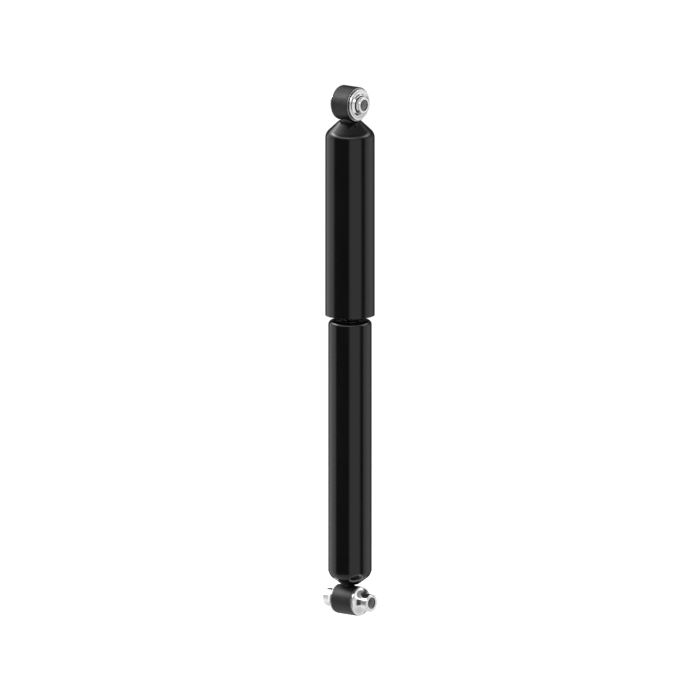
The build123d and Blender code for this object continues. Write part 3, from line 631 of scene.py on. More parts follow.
@dataclass(frozen=True)
class PlatedSteel(Finish):
    """Bright zinc plate over turned steel: fine rings round each bolt, cloudy patches, dull bores."""

    rough_band: Band = (0.0, 1.0)
    ring_pitch: float = 0.22 * MM
    bore_tone: Tone = (0.62, 0.62, 0.62)
    # Painted shade in the bores, near their mouths and far in.
    mouth_shade_tone: Tone = (0.02, 0.02, 0.02)
    bore_radius: float = 6.3 * MM
    bore_roughness: float = 0.5
    mouth_depth: float = 1.9 * MM
    deep_start: float = 8.2 * MM
    # Painted shade in the valley at the upper sleeve's foot: its tone, reach, height and fade.
    sleeve_shade_tone: Tone = (0.015, 0.015, 0.015)
    sleeve_shade_radius: float = 9.5 * MM
    sleeve_shade_height: float = 16.3 * MM
    sleeve_shade_fade: float = 0.4 * MM
    bore_fade: float = 0.05 * MM
    mouth_core: float = 0.6
    cloud: Grain = Grain(140, 4, 0.6)
    cloud_share: float = 0.6
    streaks: Grain = Grain(900)
    streak_stretch: tuple[float, float, float] = (0.25, 1, 1)
    streak_band: Band = (0.4, 0.7)
    streak_share: float = 0.4
    waver: Grain = Grain(600, 2)
    ring_height: float = 0.0002 * MM
    skin: Grain = Grain(420)
    skin_height: float = 0.001 * MM
    upper_height: float = 0.0
    sleeve_ends: tuple[float, float] = (0.0, 0.0)
    waist: float = 0.27

    def dress(self, board: Board) -> None:
        """Rings are sines of the distance from the bolt, patches wander in tone and roughness."""
        reach = board.bolt_distance((0.0, self.upper_height), self.waist)
        in_bore = board.within(reach, self.bore_radius, self.bore_fade)
        cloud = board.noise(self.cloud)
        # The plate darkens to painted shade at the upper sleeve's foot.
        plate = board.blend(self.painted_sleeve_shade(board, reach), self.tint(board, cloud), self.sleeve_shade_tone)
        # The bore's grey darkens to painted shade near its mouth and far in.
        bore = board.blend(self.painted_bore_shade(board), self.bore_tone, self.mouth_shade_tone)
        board.feed("Base Color", board.blend(in_bore, plate, bore))
        streaks = board.noise(self.streaks, board.stretched(self.streak_stretch))
        streaks = board.remap(streaks, self.streak_band, (0, self.streak_share))
        clouded = board.remap(cloud, self.tone_band, (0, self.cloud_share))
        marks = board.math("ADD", clouded, streaks)
        dull = board.math("MULTIPLY", in_bore, self.bore_roughness)
        board.feed("Roughness", board.math("ADD", self.wander(board, marks), dull))
        board.feed("Metallic", board.math("SUBTRACT", 1.0, in_bore))
        uneven = board.math("ADD", reach, board.math("MULTIPLY", board.noise(self.waver), self.ring_pitch))
        rings = board.math("SINE", board.math("MULTIPLY", uneven, 2 * math.pi / self.ring_pitch))
        board.bump((rings, self.ring_height), (board.noise(self.skin), self.skin_height))

    def painted_sleeve_shade(self, board: Board, reach: Socket) -> Socket:
        """Share of painted shade at the upper sleeve's foot: close to the bolt, below the hub's top."""
        x, above = self.place(board)
        close = board.within(reach, self.sleeve_shade_radius, self.sleeve_shade_fade)
        low = board.within(x, self.sleeve_shade_height, self.sleeve_shade_fade)
        return board.math("MULTIPLY", above, board.math("MULTIPLY", close, low))

    def place(self, board: Board) -> tuple[Socket, Socket]:
        """Distance from the middle plane, and whether a place belongs to the upper eye."""
        x, _, z = board.coordinates()
        return board.math("ABSOLUTE", x), board.math("GREATER_THAN", z, self.waist)

    def painted_bore_shade(self, board: Board) -> Socket:
        """Share of painted shade in a bore: full near its mouth and again far in, by depth from the end."""
        x, above = self.place(board)
        lower, upper = self.sleeve_ends
        end = board.math("ADD", board.math("MULTIPLY", above, upper - lower), lower)
        depth = board.math("SUBTRACT", end, x)
        mouth = board.remap(depth, (self.mouth_depth * self.mouth_core, self.mouth_depth), (1, 0))
        deep = board.remap(depth, (self.deep_start, self.deep_start + self.mouth_depth))
        return board.math("MAXIMUM", mouth, deep)


@dataclass(frozen=True)
class DrawnMetal(Finish):
    """Drawn, ground or rolled metal: fine lines along one axis and a cloudy tone."""

    line_scale: tuple[float, float, float] = (1.0, 1.0, 0.03)
    line_height: float = 0.002 * MM
    cloud: Grain = Grain(70, 4, 0.55)
    lines: Grain = Grain(1800, 3, 0.6)
    skin: Grain = Grain(300)

    def dress(self, board: Board) -> None:
        """Noise stretched along the working direction drives roughness and relief."""
        board.feed("Base Color", self.tint(board, board.noise(self.cloud)))
        lines = board.noise(self.lines, board.stretched(self.line_scale))
        board.feed("Roughness", self.wander(board, lines))
        board.put(Metallic=1.0)
        board.bump((lines, self.line_height), (board.noise(self.skin), self.line_height))


@dataclass(frozen=True)
class SinteredIron(Finish):
    """Pressed and sintered iron: open pores and a speckled dark tone."""

    tone_band: Band = (0.6, 0.35)
    rough_band: Band = (0.6, 0.35)
    sunk_band: Band = (0.35, 0.5)
    pores: Grain = Grain(1 / (0.25 * MM), 3, 0.6)
    pore_depth: float = 0.02 * MM
    swells: Grain = Grain(200, 2)
    swell_height: float = 0.01 * MM
    metal: float = 0.85

    def dress(self, board: Board) -> None:
        """Pores darken, roughen and sink the surface where their noise is low."""
        pores = board.noise(self.pores)
        board.feed("Base Color", self.tint(board, pores))
        board.feed("Roughness", self.wander(board, pores))
        board.put(Metallic=self.metal)
        sunk = board.remap(pores, self.sunk_band)
        board.bump((sunk, self.pore_depth), (board.noise(self.swells), self.swell_height))


@dataclass(frozen=True)
class MouldedRubber(Finish):
    """Bonded rubber: dull black with a grey bloom and the mould's fine grain."""

    tone_band: Band = (0.45, 0.75)
    bloom: Grain = Grain(120, 5, 0.65)
    mould: Grain = Grain(1 / (0.3 * MM))
    mould_height: float = 0.015 * MM
    swells: Grain = Grain(260, 2)
    swell_height: float = 0.03 * MM
    sheen: float = 0.4

    def dress(self, board: Board) -> None:
        """Bloom lightens broad patches, the mould's grain and soft swells give relief."""
        bloom = board.noise(self.bloom)
        board.feed("Base Color", self.tint(board, bloom))
        board.feed("Roughness", self.wander(board, bloom))
        board.put(Specular_IOR_Level=self.sheen)
        mould = board.noise(self.mould)
        board.bump((mould, self.mould_height), (board.noise(self.swells), self.swell_height))


@dataclass(frozen=True)
class BandPolymer(Finish):
    """Filled bearing polymer: brown with dark and bronze flecks."""

    tone_band: Band = (0.4, 0.65)
    flecks: Grain = Grain(1 / (0.2 * MM), 2, 0.7)
    fleck_height: float = 0.004 * MM

    def dress(self, board: Board) -> None:
        """Flecks vary tone and roughness over a smooth face."""
        flecks = board.noise(self.flecks)
        board.feed("Base Color", self.tint(board, flecks))
        board.feed("Roughness", self.wander(board, flecks))
        board.bump((flecks, self.fleck_height))


@dataclass
class Palette:
    """Every finish of the shock absorber, each material built once."""

    upper_height: float
    sleeve_ends: tuple[float, float]
    made: dict[Slot, bpy.types.Material] = field(default_factory=dict)

    def finishes(self) -> list[Finish]:
        """The finishes with their tones."""
        return [
            GlossPaint(Slot.GLOSS_PAINT, (0.0056, 0.0057, 0.0059), (0.0074, 0.0075, 0.0077), 0.11, 0.06),
            SatinPaint(Slot.SATIN_PAINT, (0.012, 0.012, 0.012), (0.021, 0.021, 0.02), 0.38, 0.12),
            PlatedSteel(
                Slot.PLATED_STEEL, (0.76, 0.76, 0.75), (0.70, 0.71, 0.71), 0.09, 0.09,
                upper_height=self.upper_height, sleeve_ends=self.sleeve_ends,
            ),
            DrawnMetal(
                Slot.HARD_CHROME, (0.74, 0.75, 0.76), (0.68, 0.69, 0.71), 0.07, 0.06,
                line_scale=(1, 1, 6), line_height=0.0004 * MM,
            ),
            DrawnMetal(Slot.DRAWN_STEEL, (0.42, 0.42, 0.41), (0.30, 0.30, 0.30), 0.32, 0.14),
            DrawnMetal(
                Slot.SPRING_STEEL, (0.23, 0.25, 0.29), (0.15, 0.16, 0.19), 0.28, 0.12, line_scale=(1, 1, 1)
            ),
            SinteredIron(Slot.SINTERED_IRON, (0.26, 0.25, 0.24), (0.10, 0.10, 0.10), 0.5, 0.2),
            MouldedRubber(Slot.RUBBER, (0.012, 0.012, 0.012), (0.026, 0.026, 0.026), 0.48, 0.15),
            DrawnMetal(Slot.BEARING_BRONZE, (0.52, 0.34, 0.16), (0.38, 0.24, 0.11), 0.3, 0.12),
            BandPolymer(Slot.BAND_POLYMER, (0.13, 0.075, 0.04), (0.27, 0.17, 0.08), 0.4, 0.12),
        ]

    def finish(self, slot: Slot) -> Finish:
        """The finish of one slot."""
        return next(finish for finish in self.finishes() if finish.slot is slot)

    def build(self) -> None:
        """Builds every material."""
        self.made = {finish.slot: finish.material() for finish in self.finishes()}

    def dress(self, thing: bpy.types.Object, slot: Slot) -> None:
        """Gives an object one finish all over."""
        thing.data.materials.clear()
        thing.data.materials.append(self.made[slot])


@dataclass
class SubAssembly:
    """Base of the sub-assemblies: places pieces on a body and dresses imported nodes."""

    palette: Palette
    nodes: dict[str, bpy.types.Object]

    def add(self, surface: Surface, name: str, body: str, slot: Slot, replaced: str) -> None:
        """Makes a piece of a surface and places it."""
        self.place(surface.piece(name), body, slot, replaced)

    def place(self, made: bpy.types.Object, body: str, slot: Slot, replaced: str) -> None:
        """Finishes a piece, puts it on its body and hides the node that it stands for."""
        self.palette.dress(made, slot)
        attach(made, body)
        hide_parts(replaced)
        log.info("%s: %d faces on %s", made.name, len(made.data.polygons), body)

    def add_spring(self, name: str, body: str, joint: str, travel: float, fixed_high: bool) -> None:
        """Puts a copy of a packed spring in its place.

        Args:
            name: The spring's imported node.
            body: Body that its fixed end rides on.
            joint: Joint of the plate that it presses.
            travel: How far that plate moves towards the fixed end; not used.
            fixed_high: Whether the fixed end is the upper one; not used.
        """
        node = self.nodes[name]
        mesh = node.data.copy()
        mesh.transform(node.matrix_world)
        made = bpy.data.objects.new(f"{name}_sprung", mesh)
        bpy.context.scene.collection.objects.link(made)
        self.place(made, body, Slot.SPRING_STEEL, name)
        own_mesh(made)
        log.info("%s: shortens with %s", name, joint)

    def dress_nodes(self, slots: dict[str, Slot]) -> None:
        """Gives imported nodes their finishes."""
        for name, slot in slots.items():
            self.palette.dress(self.nodes[name], slot)
            log.info("%s: packed solid, %s", name, slot.value)


@dataclass
class Cylinder(SubAssembly):
    """Reserve tube with its rolled top, the base cap and the parts sealed inside."""

    wall: float = 1.5 * MM
    roll_radius: float = 5.2 * MM
    lip_width: float = 6.5 * MM
    roll_waver: float = 0.05 * MM
    intake_travel: float = 1.0 * MM

    def tube(self) -> Surface:
        """Reserve tube: a thin wall whose top rolls inwards to a lip that wavers slightly."""
        low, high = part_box("reserve_tube")
        radius, bore = high.x, high.x - self.wall
        lip = radius - self.lip_width
        corners = [
            Corner(low.z, radius, 0.3 * MM),
            Corner(high.z, radius, self.roll_radius),
            Corner(high.z, lip, 0.35 * MM),
            Corner(high.z - self.wall, lip, 0.2 * MM),
            Corner(high.z - self.wall, bore, self.roll_radius - self.wall),
            Corner(low.z, bore),
        ]
        return lathe(corners, Spin.UPRIGHT, steps=14, relief=self.lip_relief(lip))

    def lip_relief(self, lip: float) -> Relief:
        """Relief of the rolled lip, left uneven by the closing tool within 2 mm of its edge."""

        def relief(outline: Array, angles: Array) -> Array:
            """Ripple of the turn times how near each outline point lies to the lip's edge."""
            share = np.clip(1 - (outline[:, 1:] - lip) / (2 * MM), 0, 1)
            return -share * np.abs(ripple(angles, self.roll_waver, 5))[None, :]

        return relief

    def build(self) -> None:
        """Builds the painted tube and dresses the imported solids."""
        self.add(self.tube(), "reserve_tube_shell", "cylinder", Slot.GLOSS_PAINT, "reserve_tube")
        gloss = self.palette.finish(Slot.GLOSS_PAINT)
        tones = (gloss.tone, gloss.second_tone, gloss.roughness, gloss.roughness_range)
        cap_paint = CapPaint(Slot.GLOSS_PAINT, *tones, foot=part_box("base_cap")[0].z).material()
        self.nodes["base_cap"].data.materials.clear()
        self.nodes["base_cap"].data.materials.append(cap_paint)
        # The grey at the recess's rim is a painted highlight.
        log.info("base_cap: packed solid, gloss paint worn at its recess")
        self.dress_nodes(
            {
                "seal_plate": Slot.DRAWN_STEEL,
                "rod_seal": Slot.RUBBER,
                "pressure_tube": Slot.DRAWN_STEEL,
                "rod_guide": Slot.SINTERED_IRON,
                "rod_guide_bushing": Slot.BEARING_BRONZE,
                "base_valve_body": Slot.SINTERED_IRON,
                "base_valve_bolt": Slot.DRAWN_STEEL,
                "base_valve_nut": Slot.PLATED_STEEL,
                "base_compression_discs": Slot.SPRING_STEEL,
                "base_intake_plate": Slot.SPRING_STEEL,
            }
        )
        self.add_spring("base_intake_spring", "cylinder", "intake_plate_lift", self.intake_travel, True)


@dataclass
class RodAndPiston(SubAssembly):
    """Rod, piston, its valves and the dust tube that rides on the rod."""

    dust_wall: float = 1.0 * MM
    shoulder_radius: float = 11.5 * MM
    cone_angle: float = math.radians(47)
    cone_top_radius: float = 12.4 * MM
    cap_thickness: float = 2.0 * MM
    rod_radius: float = 6.35 * MM
    check_travel: float = 0.8 * MM
    rebound_travel: float = 1.2 * MM

    def dust_tube(self) -> Surface:
        """Dust tube: a thin wall drawn in through a round shoulder and a cone to the rod."""
        low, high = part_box("dust_tube")
        radius, bore, rod = high.x, high.x - self.dust_wall, self.rod_radius
        slope = math.tan(self.cone_angle)
        inner_top = high.z - self.cap_thickness
        inner_radius = self.cone_top_radius + self.cap_thickness * slope
        inner_radius -= self.dust_wall / math.cos(self.cone_angle)
        corners = [
            Corner(low.z, radius, 0.35 * MM),
            Corner(high.z - (radius - self.cone_top_radius) / slope, radius, self.shoulder_radius),
            Corner(high.z, self.cone_top_radius, 0.5 * MM),
            Corner(high.z, rod),
            Corner(inner_top, rod),
            Corner(inner_top, inner_radius, 0.3 * MM),
            Corner(inner_top - (bore - inner_radius) / slope, bore, self.shoulder_radius - self.dust_wall),
            Corner(low.z, bore, 0.25 * MM),
        ]
        return lathe(corners, Spin.UPRIGHT, steps=16)

    def build(self) -> None:
        """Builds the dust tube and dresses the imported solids."""
        self.add(self.dust_tube(), "dust_tube_shell", "rod", Slot.GLOSS_PAINT, "dust_tube")
        self.dress_nodes(
            {
                "piston_rod": Slot.HARD_CHROME,
                "piston": Slot.SINTERED_IRON,
                "piston_band": Slot.BAND_POLYMER,
                "piston_nut": Slot.DRAWN_STEEL,
                "piston_check_washer": Slot.DRAWN_STEEL,
                "piston_check_plate": Slot.SPRING_STEEL,
                "rebound_disc": Slot.SPRING_STEEL,
                "rebound_stop_ring": Slot.DRAWN_STEEL,
                "rebound_bumper": Slot.RUBBER,
            }
        )
        self.add_spring("piston_check_spring", "rod", "check_plate_lift", self.check_travel, True)
        self.add_spring("rebound_spring", "rod", "rebound_disc_drop", self.rebound_travel, False)


@dataclass
class Eye(SubAssembly):
    """One eye: ring, weld, bushing shell, rubber and the sleeve that the bolt clamps."""

    end: str
    carrier: str
    height: float
    ring_wall: float
    weld_level: float
    weld_profile: tuple[tuple[float, float], ...]
    shell_wall: float = 0.9 * MM
    lip_thickness: float = 0.5 * MM
    lip_lift: float = 0.2 * MM
    lip_band: float = 0.6 * MM
    lip_rounds: tuple[float, float, float] = (0.15 * MM, 0.2 * MM, 0.3 * MM)
    rubber_rim: float = 1.2 * MM
    rubber_waver: float = 0.1 * MM
    bulge: float = 1.3 * MM
    dish: float = 0.25 * MM
    sleeve_gap: float = 0.06 * MM
    bolt_radius: float = 6.15 * MM
    bolt_break: float = 0.25 * MM
    sleeve_round: float = 0.6 * MM
    ring_round: float = 0.8 * MM
    weld_rows: int = 15
    weld_core_rows: int = 4
    weld_core: float = 1.0 * MM
    weld_ripples: int = 34
    weld_ripple_height: float = 0.16 * MM
    weld_ripple_bow: float = 1.2
    weld_ripple_sink: float = 0.6
    weld_waver: float = 0.2 * MM
    seat: float = 0.1 * MM
    seed: int = 1

    def node(self, part: str) -> str:
        """Name of one of this eye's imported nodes."""
        return f"{self.end}_{part}"

    def reach(self, part: str) -> tuple[float, float]:
        """Half the length along the bolt and the outer radius of one of this eye's nodes."""
        low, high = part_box(self.node(part))
        return high.x, (high.z - low.z) / 2

    def ring(self) -> Surface:
        """Ring: a short tube round the bolt with rounded rims."""
        half, radius = self.reach("eye_ring")
        right = [Corner(half, radius, self.ring_round), Corner(half, radius - self.ring_wall)]
        return lathe(both_ways(right), Spin.ACROSS, self.height)

    def shell(self) -> Surface:
        """Bushing shell: a thin tube whose ends are turned out into wavy lips over the ring."""
        _, ring_radius = self.reach("eye_ring")
        end, lip = self.reach("bushing_shell")
        outer = ring_radius - self.ring_wall
        inner_face = end - self.lip_thickness
        back_round, front_round, mouth_round = self.lip_rounds
        right = [
            Corner(inner_face, outer),
            Corner(inner_face, lip, back_round),
            Corner(end, lip, front_round),
            Corner(end, outer - self.shell_wall, mouth_round),
        ]
        tube = lathe(both_ways(right), Spin.ACROSS, self.height)
        return waved(tube, self.height, lip - self.lip_band, self.lip_lift, self.seed)

    def rubber(self) -> Surface:
        """Rubber: bonded inside the shell, bulging over each lip and dished at the sleeve."""
        end, _ = self.reach("bushing_shell")
        tip, edge = self.reach("bushing_rubber")
        _, ring_radius = self.reach("eye_ring")
        _, sleeve = self.reach("eye_sleeve")
        shell_bore = ring_radius - self.ring_wall - self.shell_wall
        middle = (edge + sleeve) / 2
        right = [
            Corner(end, shell_bore, 0.1 * MM),
            Corner(end, edge, 0.15 * MM),
            Corner(tip, edge - self.bulge, 0.9 * MM),
            Corner(tip - self.dish, middle, 1.2 * MM),
            Corner(tip, sleeve + self.sleeve_gap, 0.25 * MM),
        ]
        relief = raised_rim(shell_bore + self.rubber_rim, self.rubber_waver, self.seed + 7)
        return lathe(both_ways(right), Spin.ACROSS, self.height, relief)

    def sleeve(self) -> Surface:
        """Sleeve: a thick tube with rounded outer rims and a small break at the bore."""
        half, radius = self.reach("eye_sleeve")
        right = [Corner(half, radius, self.sleeve_round), Corner(half, self.bolt_radius, self.bolt_break)]
        return lathe(both_ways(right), Spin.ACROSS, self.height)

    def weld(self) -> Surface:
        """Weld bead between the tube end's flat face and the ring.

        Rows run from the flat face to the ring. A row's height is a blend of the face's level
        and of the ring's surface above each point, its axis height plus or minus the root of
        its radius squared minus the offset squared. The radius follows the bead's profile and
        swells into stacked ripples: the absolute cosine of half the ripple count times the
        turn, bowed by the square of the place across the bead.
        """
        _, ring_radius = self.reach("eye_ring")
        side = 1.0 if self.weld_level > self.height else -1.0
        profile = np.array(self.weld_profile)
        v = np.linspace(0, 1, self.weld_rows)[:, None]
        angles = np.linspace(0, 2 * np.pi, TURN_STEPS * 2, endpoint=False)[None, :]
        radius = np.interp(v, profile[:, 0], profile[:, 1])
        bow = self.weld_ripple_bow * (2 * v - 1) ** 2
        stack = np.abs(np.cos(self.weld_ripples * angles / 2 + bow)) - self.weld_ripple_sink
        uneven = ripple(angles[0], self.weld_waver, self.seed + 3)[None, :]
        outer = radius + (self.weld_ripple_height * stack + uneven) * np.sin(np.pi * v)
        core = np.full((self.weld_core_rows, angles.shape[1]), self.weld_core)
        radii = np.concatenate([outer, core])
        place = np.concatenate([v, np.linspace(1, 0, self.weld_core_rows)[:, None]])
        saddle = self.height + side * np.sqrt(ring_radius**2 - (radii * np.sin(angles)) ** 2)
        level = self.weld_level + side * self.seat
        z = (1 - place) * level + place * (saddle - side * self.seat)
        grid = np.stack([radii * np.cos(angles), radii * np.sin(angles), z], axis=-1)
        return Surface.from_grid(grid)

    def build(self) -> None:
        """Builds the eye's pieces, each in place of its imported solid."""
        slots = {
            "eye_ring": (self.ring(), self.carrier, Slot.SATIN_PAINT),
            "eye_weld": (self.weld(), self.carrier, Slot.SATIN_PAINT),
            "bushing_shell": (self.shell(), self.carrier, Slot.DRAWN_STEEL),
            "bushing_rubber": (self.rubber(), self.carrier, Slot.RUBBER),
            "eye_sleeve": (self.sleeve(), f"{self.end}_sleeve", Slot.PLATED_STEEL),
        }
        for part, (surface, body, slot) in slots.items():
            self.add(surface, f"{self.node(part)}_surface", body, slot, self.node(part))


@dataclass
class UpperWashers(SubAssembly):
    """Two dished plates on the upper sleeve, each with a rim, a groove and a raised hub."""

    height: float
    thickness: float = 1.3 * MM
    rim_width: float = 1.5 * MM
    groove_width: float = 2.9 * MM
    groove_depth: float = 0.85 * MM
    hub_height: float = 1.6 * MM
    hub_land: float = 0.9 * MM
    sleeve_radius: float = 9.0 * MM

    def surface(self) -> Surface:
        """Both plates: one outline turned about the bolt, and its mirror image."""
        low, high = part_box("upper_eye_washers")
        radius = (high.z - low.z) / 2
        hub_top = high.x
        face = hub_top - self.hub_height
        foot = face - self.thickness
        groove = radius - self.rim_width
        hub = groove - self.groove_width
        corners = [
            Corner(foot, self.sleeve_radius),
            Corner(foot, radius, 0.4 * MM),
            Corner(face, radius, 0.4 * MM),
            Corner(face, groove, 0.4 * MM),
            Corner(face - self.groove_depth, hub, 0.9 * MM),
            Corner(hub_top, self.sleeve_radius + self.hub_land, 0.6 * MM),
            Corner(face, self.sleeve_radius, 0.15 * MM),
        ]
        plate = lathe(corners, Spin.ACROSS, self.height)
        return plate.joined(plate.mirrored())

    def build(self) -> None:
        """Builds the two plates."""
        plates = self.surface()
        self.add(plates, "upper_washer_plates", "upper_sleeve", Slot.PLATED_STEEL, "upper_eye_washers")


@dataclass
class LowerFlanges(SubAssembly):
    """Two trumpet shaped spacers on the lower sleeve, flared towards the ring."""

    foot: float = 14.9 * MM
    thickness: float = 1.2 * MM
    rim_width: float = 1.3 * MM
    neck_radius: float = 9.7 * MM
    neck_length: float = 7.4 * MM
    cone_sag: float = 0.9 * MM
    sleeve_radius: float = 8.2 * MM

    def surface(self) -> Surface:
        """Both flanges: one outline turned about the bolt, and its mirror image."""
        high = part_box("lower_eye_flanges")[1]
        radius, end = high.z, high.x
        face = self.foot + self.thickness
        cone_top = Corner(face, radius - self.rim_width, 0.15 * MM)
        neck = Corner(end - self.neck_length, self.neck_radius, 0.8 * MM)
        corners = [
            Corner(self.foot, self.sleeve_radius),
            Corner(self.foot, radius, 0.4 * MM),
            Corner(face, radius, 0.4 * MM),
            cone_top,
            *dished(cone_top, neck, -self.cone_sag),
            neck,
            Corner(end, self.neck_radius, 0.4 * MM),
            Corner(end, self.sleeve_radius),
        ]
        flange = lathe(corners, Spin.ACROSS)
        return flange.joined(flange.mirrored())

    def build(self) -> None:
        """Builds the two flanges."""
        pair = self.surface()
        self.add(pair, "lower_flange_pair", "lower_sleeve", Slot.PLATED_STEEL, "lower_eye_flanges")


def eased(share: Array) -> Array:
    """Share held between 0 and 1 and eased at both ends: three times its square less twice its cube."""
    held = np.clip(share, 0, 1)
    return held**2 * (3 - 2 * held)


@dataclass(frozen=True)
class Lobe:
    """Soft glow in the reflections: where it lies and how far it spreads, in degrees, and its strength."""

    bearing: float
    rise: float
    width: float
    height: float
    strength: float

    def over(self, bearings: Array, rises: Array) -> Array:
        """Bell curve of the turn times the cosine of the rise, times a bell curve of the rise."""
        turn = (bearings - self.bearing + 180) % 360 - 180
        across = turn * np.cos(np.radians(rises)) / self.width
        return self.strength * np.exp(-0.5 * (across**2 + ((rises - self.rise) / self.height) ** 2))


class StageBoard:
    """Node tree of one piece of the stage, whose surfaces glow by a number stored at each point."""

    def __init__(self, made: bpy.types.Object) -> None:
        self.made = made
        material = bpy.data.materials.new(made.name)
        material.use_nodes = True
        self.tree = material.node_tree
        self.tree.nodes.clear()
        self.output = new_node(self.tree, "OutputMaterial")
        made.data.materials.append(material)

    def stored(self, name: str, values: Array) -> Socket:
        """Stores one number at each point of the mesh and returns the socket that reads it."""
        attribute = self.made.data.attributes.new(name, "FLOAT", "POINT")
        attribute.data.foreach_set("value", np.ascontiguousarray(values.ravel(), dtype=np.float32))
        node = new_node(self.tree, "Attribute")
        node.attribute_name = name
        return node.outputs["Fac"]

    def glow(self, strength: Socket | float) -> Socket:
        """White glow of a strength."""
        node = new_node(self.tree, "Emission")
        if isinstance(strength, (int, float)):
            set_inputs(node, Strength=strength)
        else:
            self.tree.links.new(strength, node.inputs["Strength"])
        return node.outputs["Emission"]

    def mixed(self, share: Socket, first: Socket, second: Socket) -> Socket:
        """Shader between two, by a share from 0 to 1."""
        node = new_node(self.tree, "MixShader")
        for source, end in zip((share, first, second), node.inputs):
            self.tree.links.new(source, end)
        return node.outputs["Shader"]

    def finish(self, surface: Socket, reflected_only: bool = True) -> None:
        """Joins the surface to the output and, if asked, hides the piece from all but reflections."""
        self.tree.links.new(surface, self.output.inputs["Surface"])
        for kind in ("camera", "diffuse", "shadow", "transmission", "volume_scatter"):
            setattr(self.made, f"visible_{kind}", not reflected_only)


@dataclass(frozen=True)
class Screen:
    """Nearly black screen round the object that only reflections see, fading out at both sides."""

    name: str
    start: float
    end: float
    start_fade: float
    end_fade: float
    profile: tuple[tuple[float, float], ...]
    glow: float = 0.06
    steps: int = 40

    def build(self, azimuth: float) -> None:
        """Sweeps the profile of (radius, height) between two bearings and fades it near each."""
        turns = np.linspace(self.start, self.end, self.steps)
        bearings = np.radians(turns) + azimuth
        radius, height = (np.array(column)[:, None] for column in zip(*self.profile))
        x, y = radius * np.sin(bearings), -radius * np.cos(bearings)
        grid = np.stack([x, y, np.broadcast_to(height, x.shape)], axis=-1)
        board = StageBoard(Surface.from_grid(grid, False, False).piece(self.name))
        cover = eased((turns - self.start) / self.start_fade) * eased((self.end - turns) / self.end_fade)
        share = board.stored("cover", np.broadcast_to(cover, x.shape))
        clear = new_node(board.tree, "BsdfTransparent").outputs["BSDF"]
        board.finish(board.mixed(share, clear, board.glow(self.glow)))


@dataclass(frozen=True)
class Dome:
    """Far dome that only reflections see: pale at the horizon, dim overhead, with soft lobes."""

    lobes: tuple[Lobe, ...]
    radius: float = 8.0
    horizon: float = 1.0
    zenith: float = 0.3
    dim_from: float = 4.0
    dim_to: float = 24.0
    columns: int = 145
    rows: int = 93
    lowest: float = -2.0

    def build(self, azimuth: float) -> None:
        """Grid of bearings and rises whose glow is the eased base plus every lobe."""
        turns = np.linspace(-180, 180, self.columns)[None, :]
        rises = np.linspace(self.lowest, 90, self.rows)[:, None]
        flat = self.radius * np.cos(np.radians(rises))
        bearings = np.radians(turns) + azimuth
        x, y = flat * np.sin(bearings), -flat * np.cos(bearings)
        z = np.broadcast_to(self.radius * np.sin(np.radians(rises)), x.shape)
        share = eased((rises - self.dim_from) / (self.dim_to - self.dim_from))
        level = self.horizon + (self.zenith - self.horizon) * share + 0 * turns
        level = np.maximum(level + sum(lobe.over(turns, rises) for lobe in self.lobes), 0)
        surface = Surface.from_grid(np.stack([x, y, z], axis=-1), False, False)
        board = StageBoard(surface.piece("reflection_dome"))
        board.finish(board.glow(board.stored("level", level)))


@dataclass(frozen=True)
class Lamp:
    """Soft rectangular lamp: its bearing and rise in degrees, distance, size and radiance."""

    name: str
    bearing: float
    rise: float
    distance: float
    size: tuple[float, float]
    radiance: float


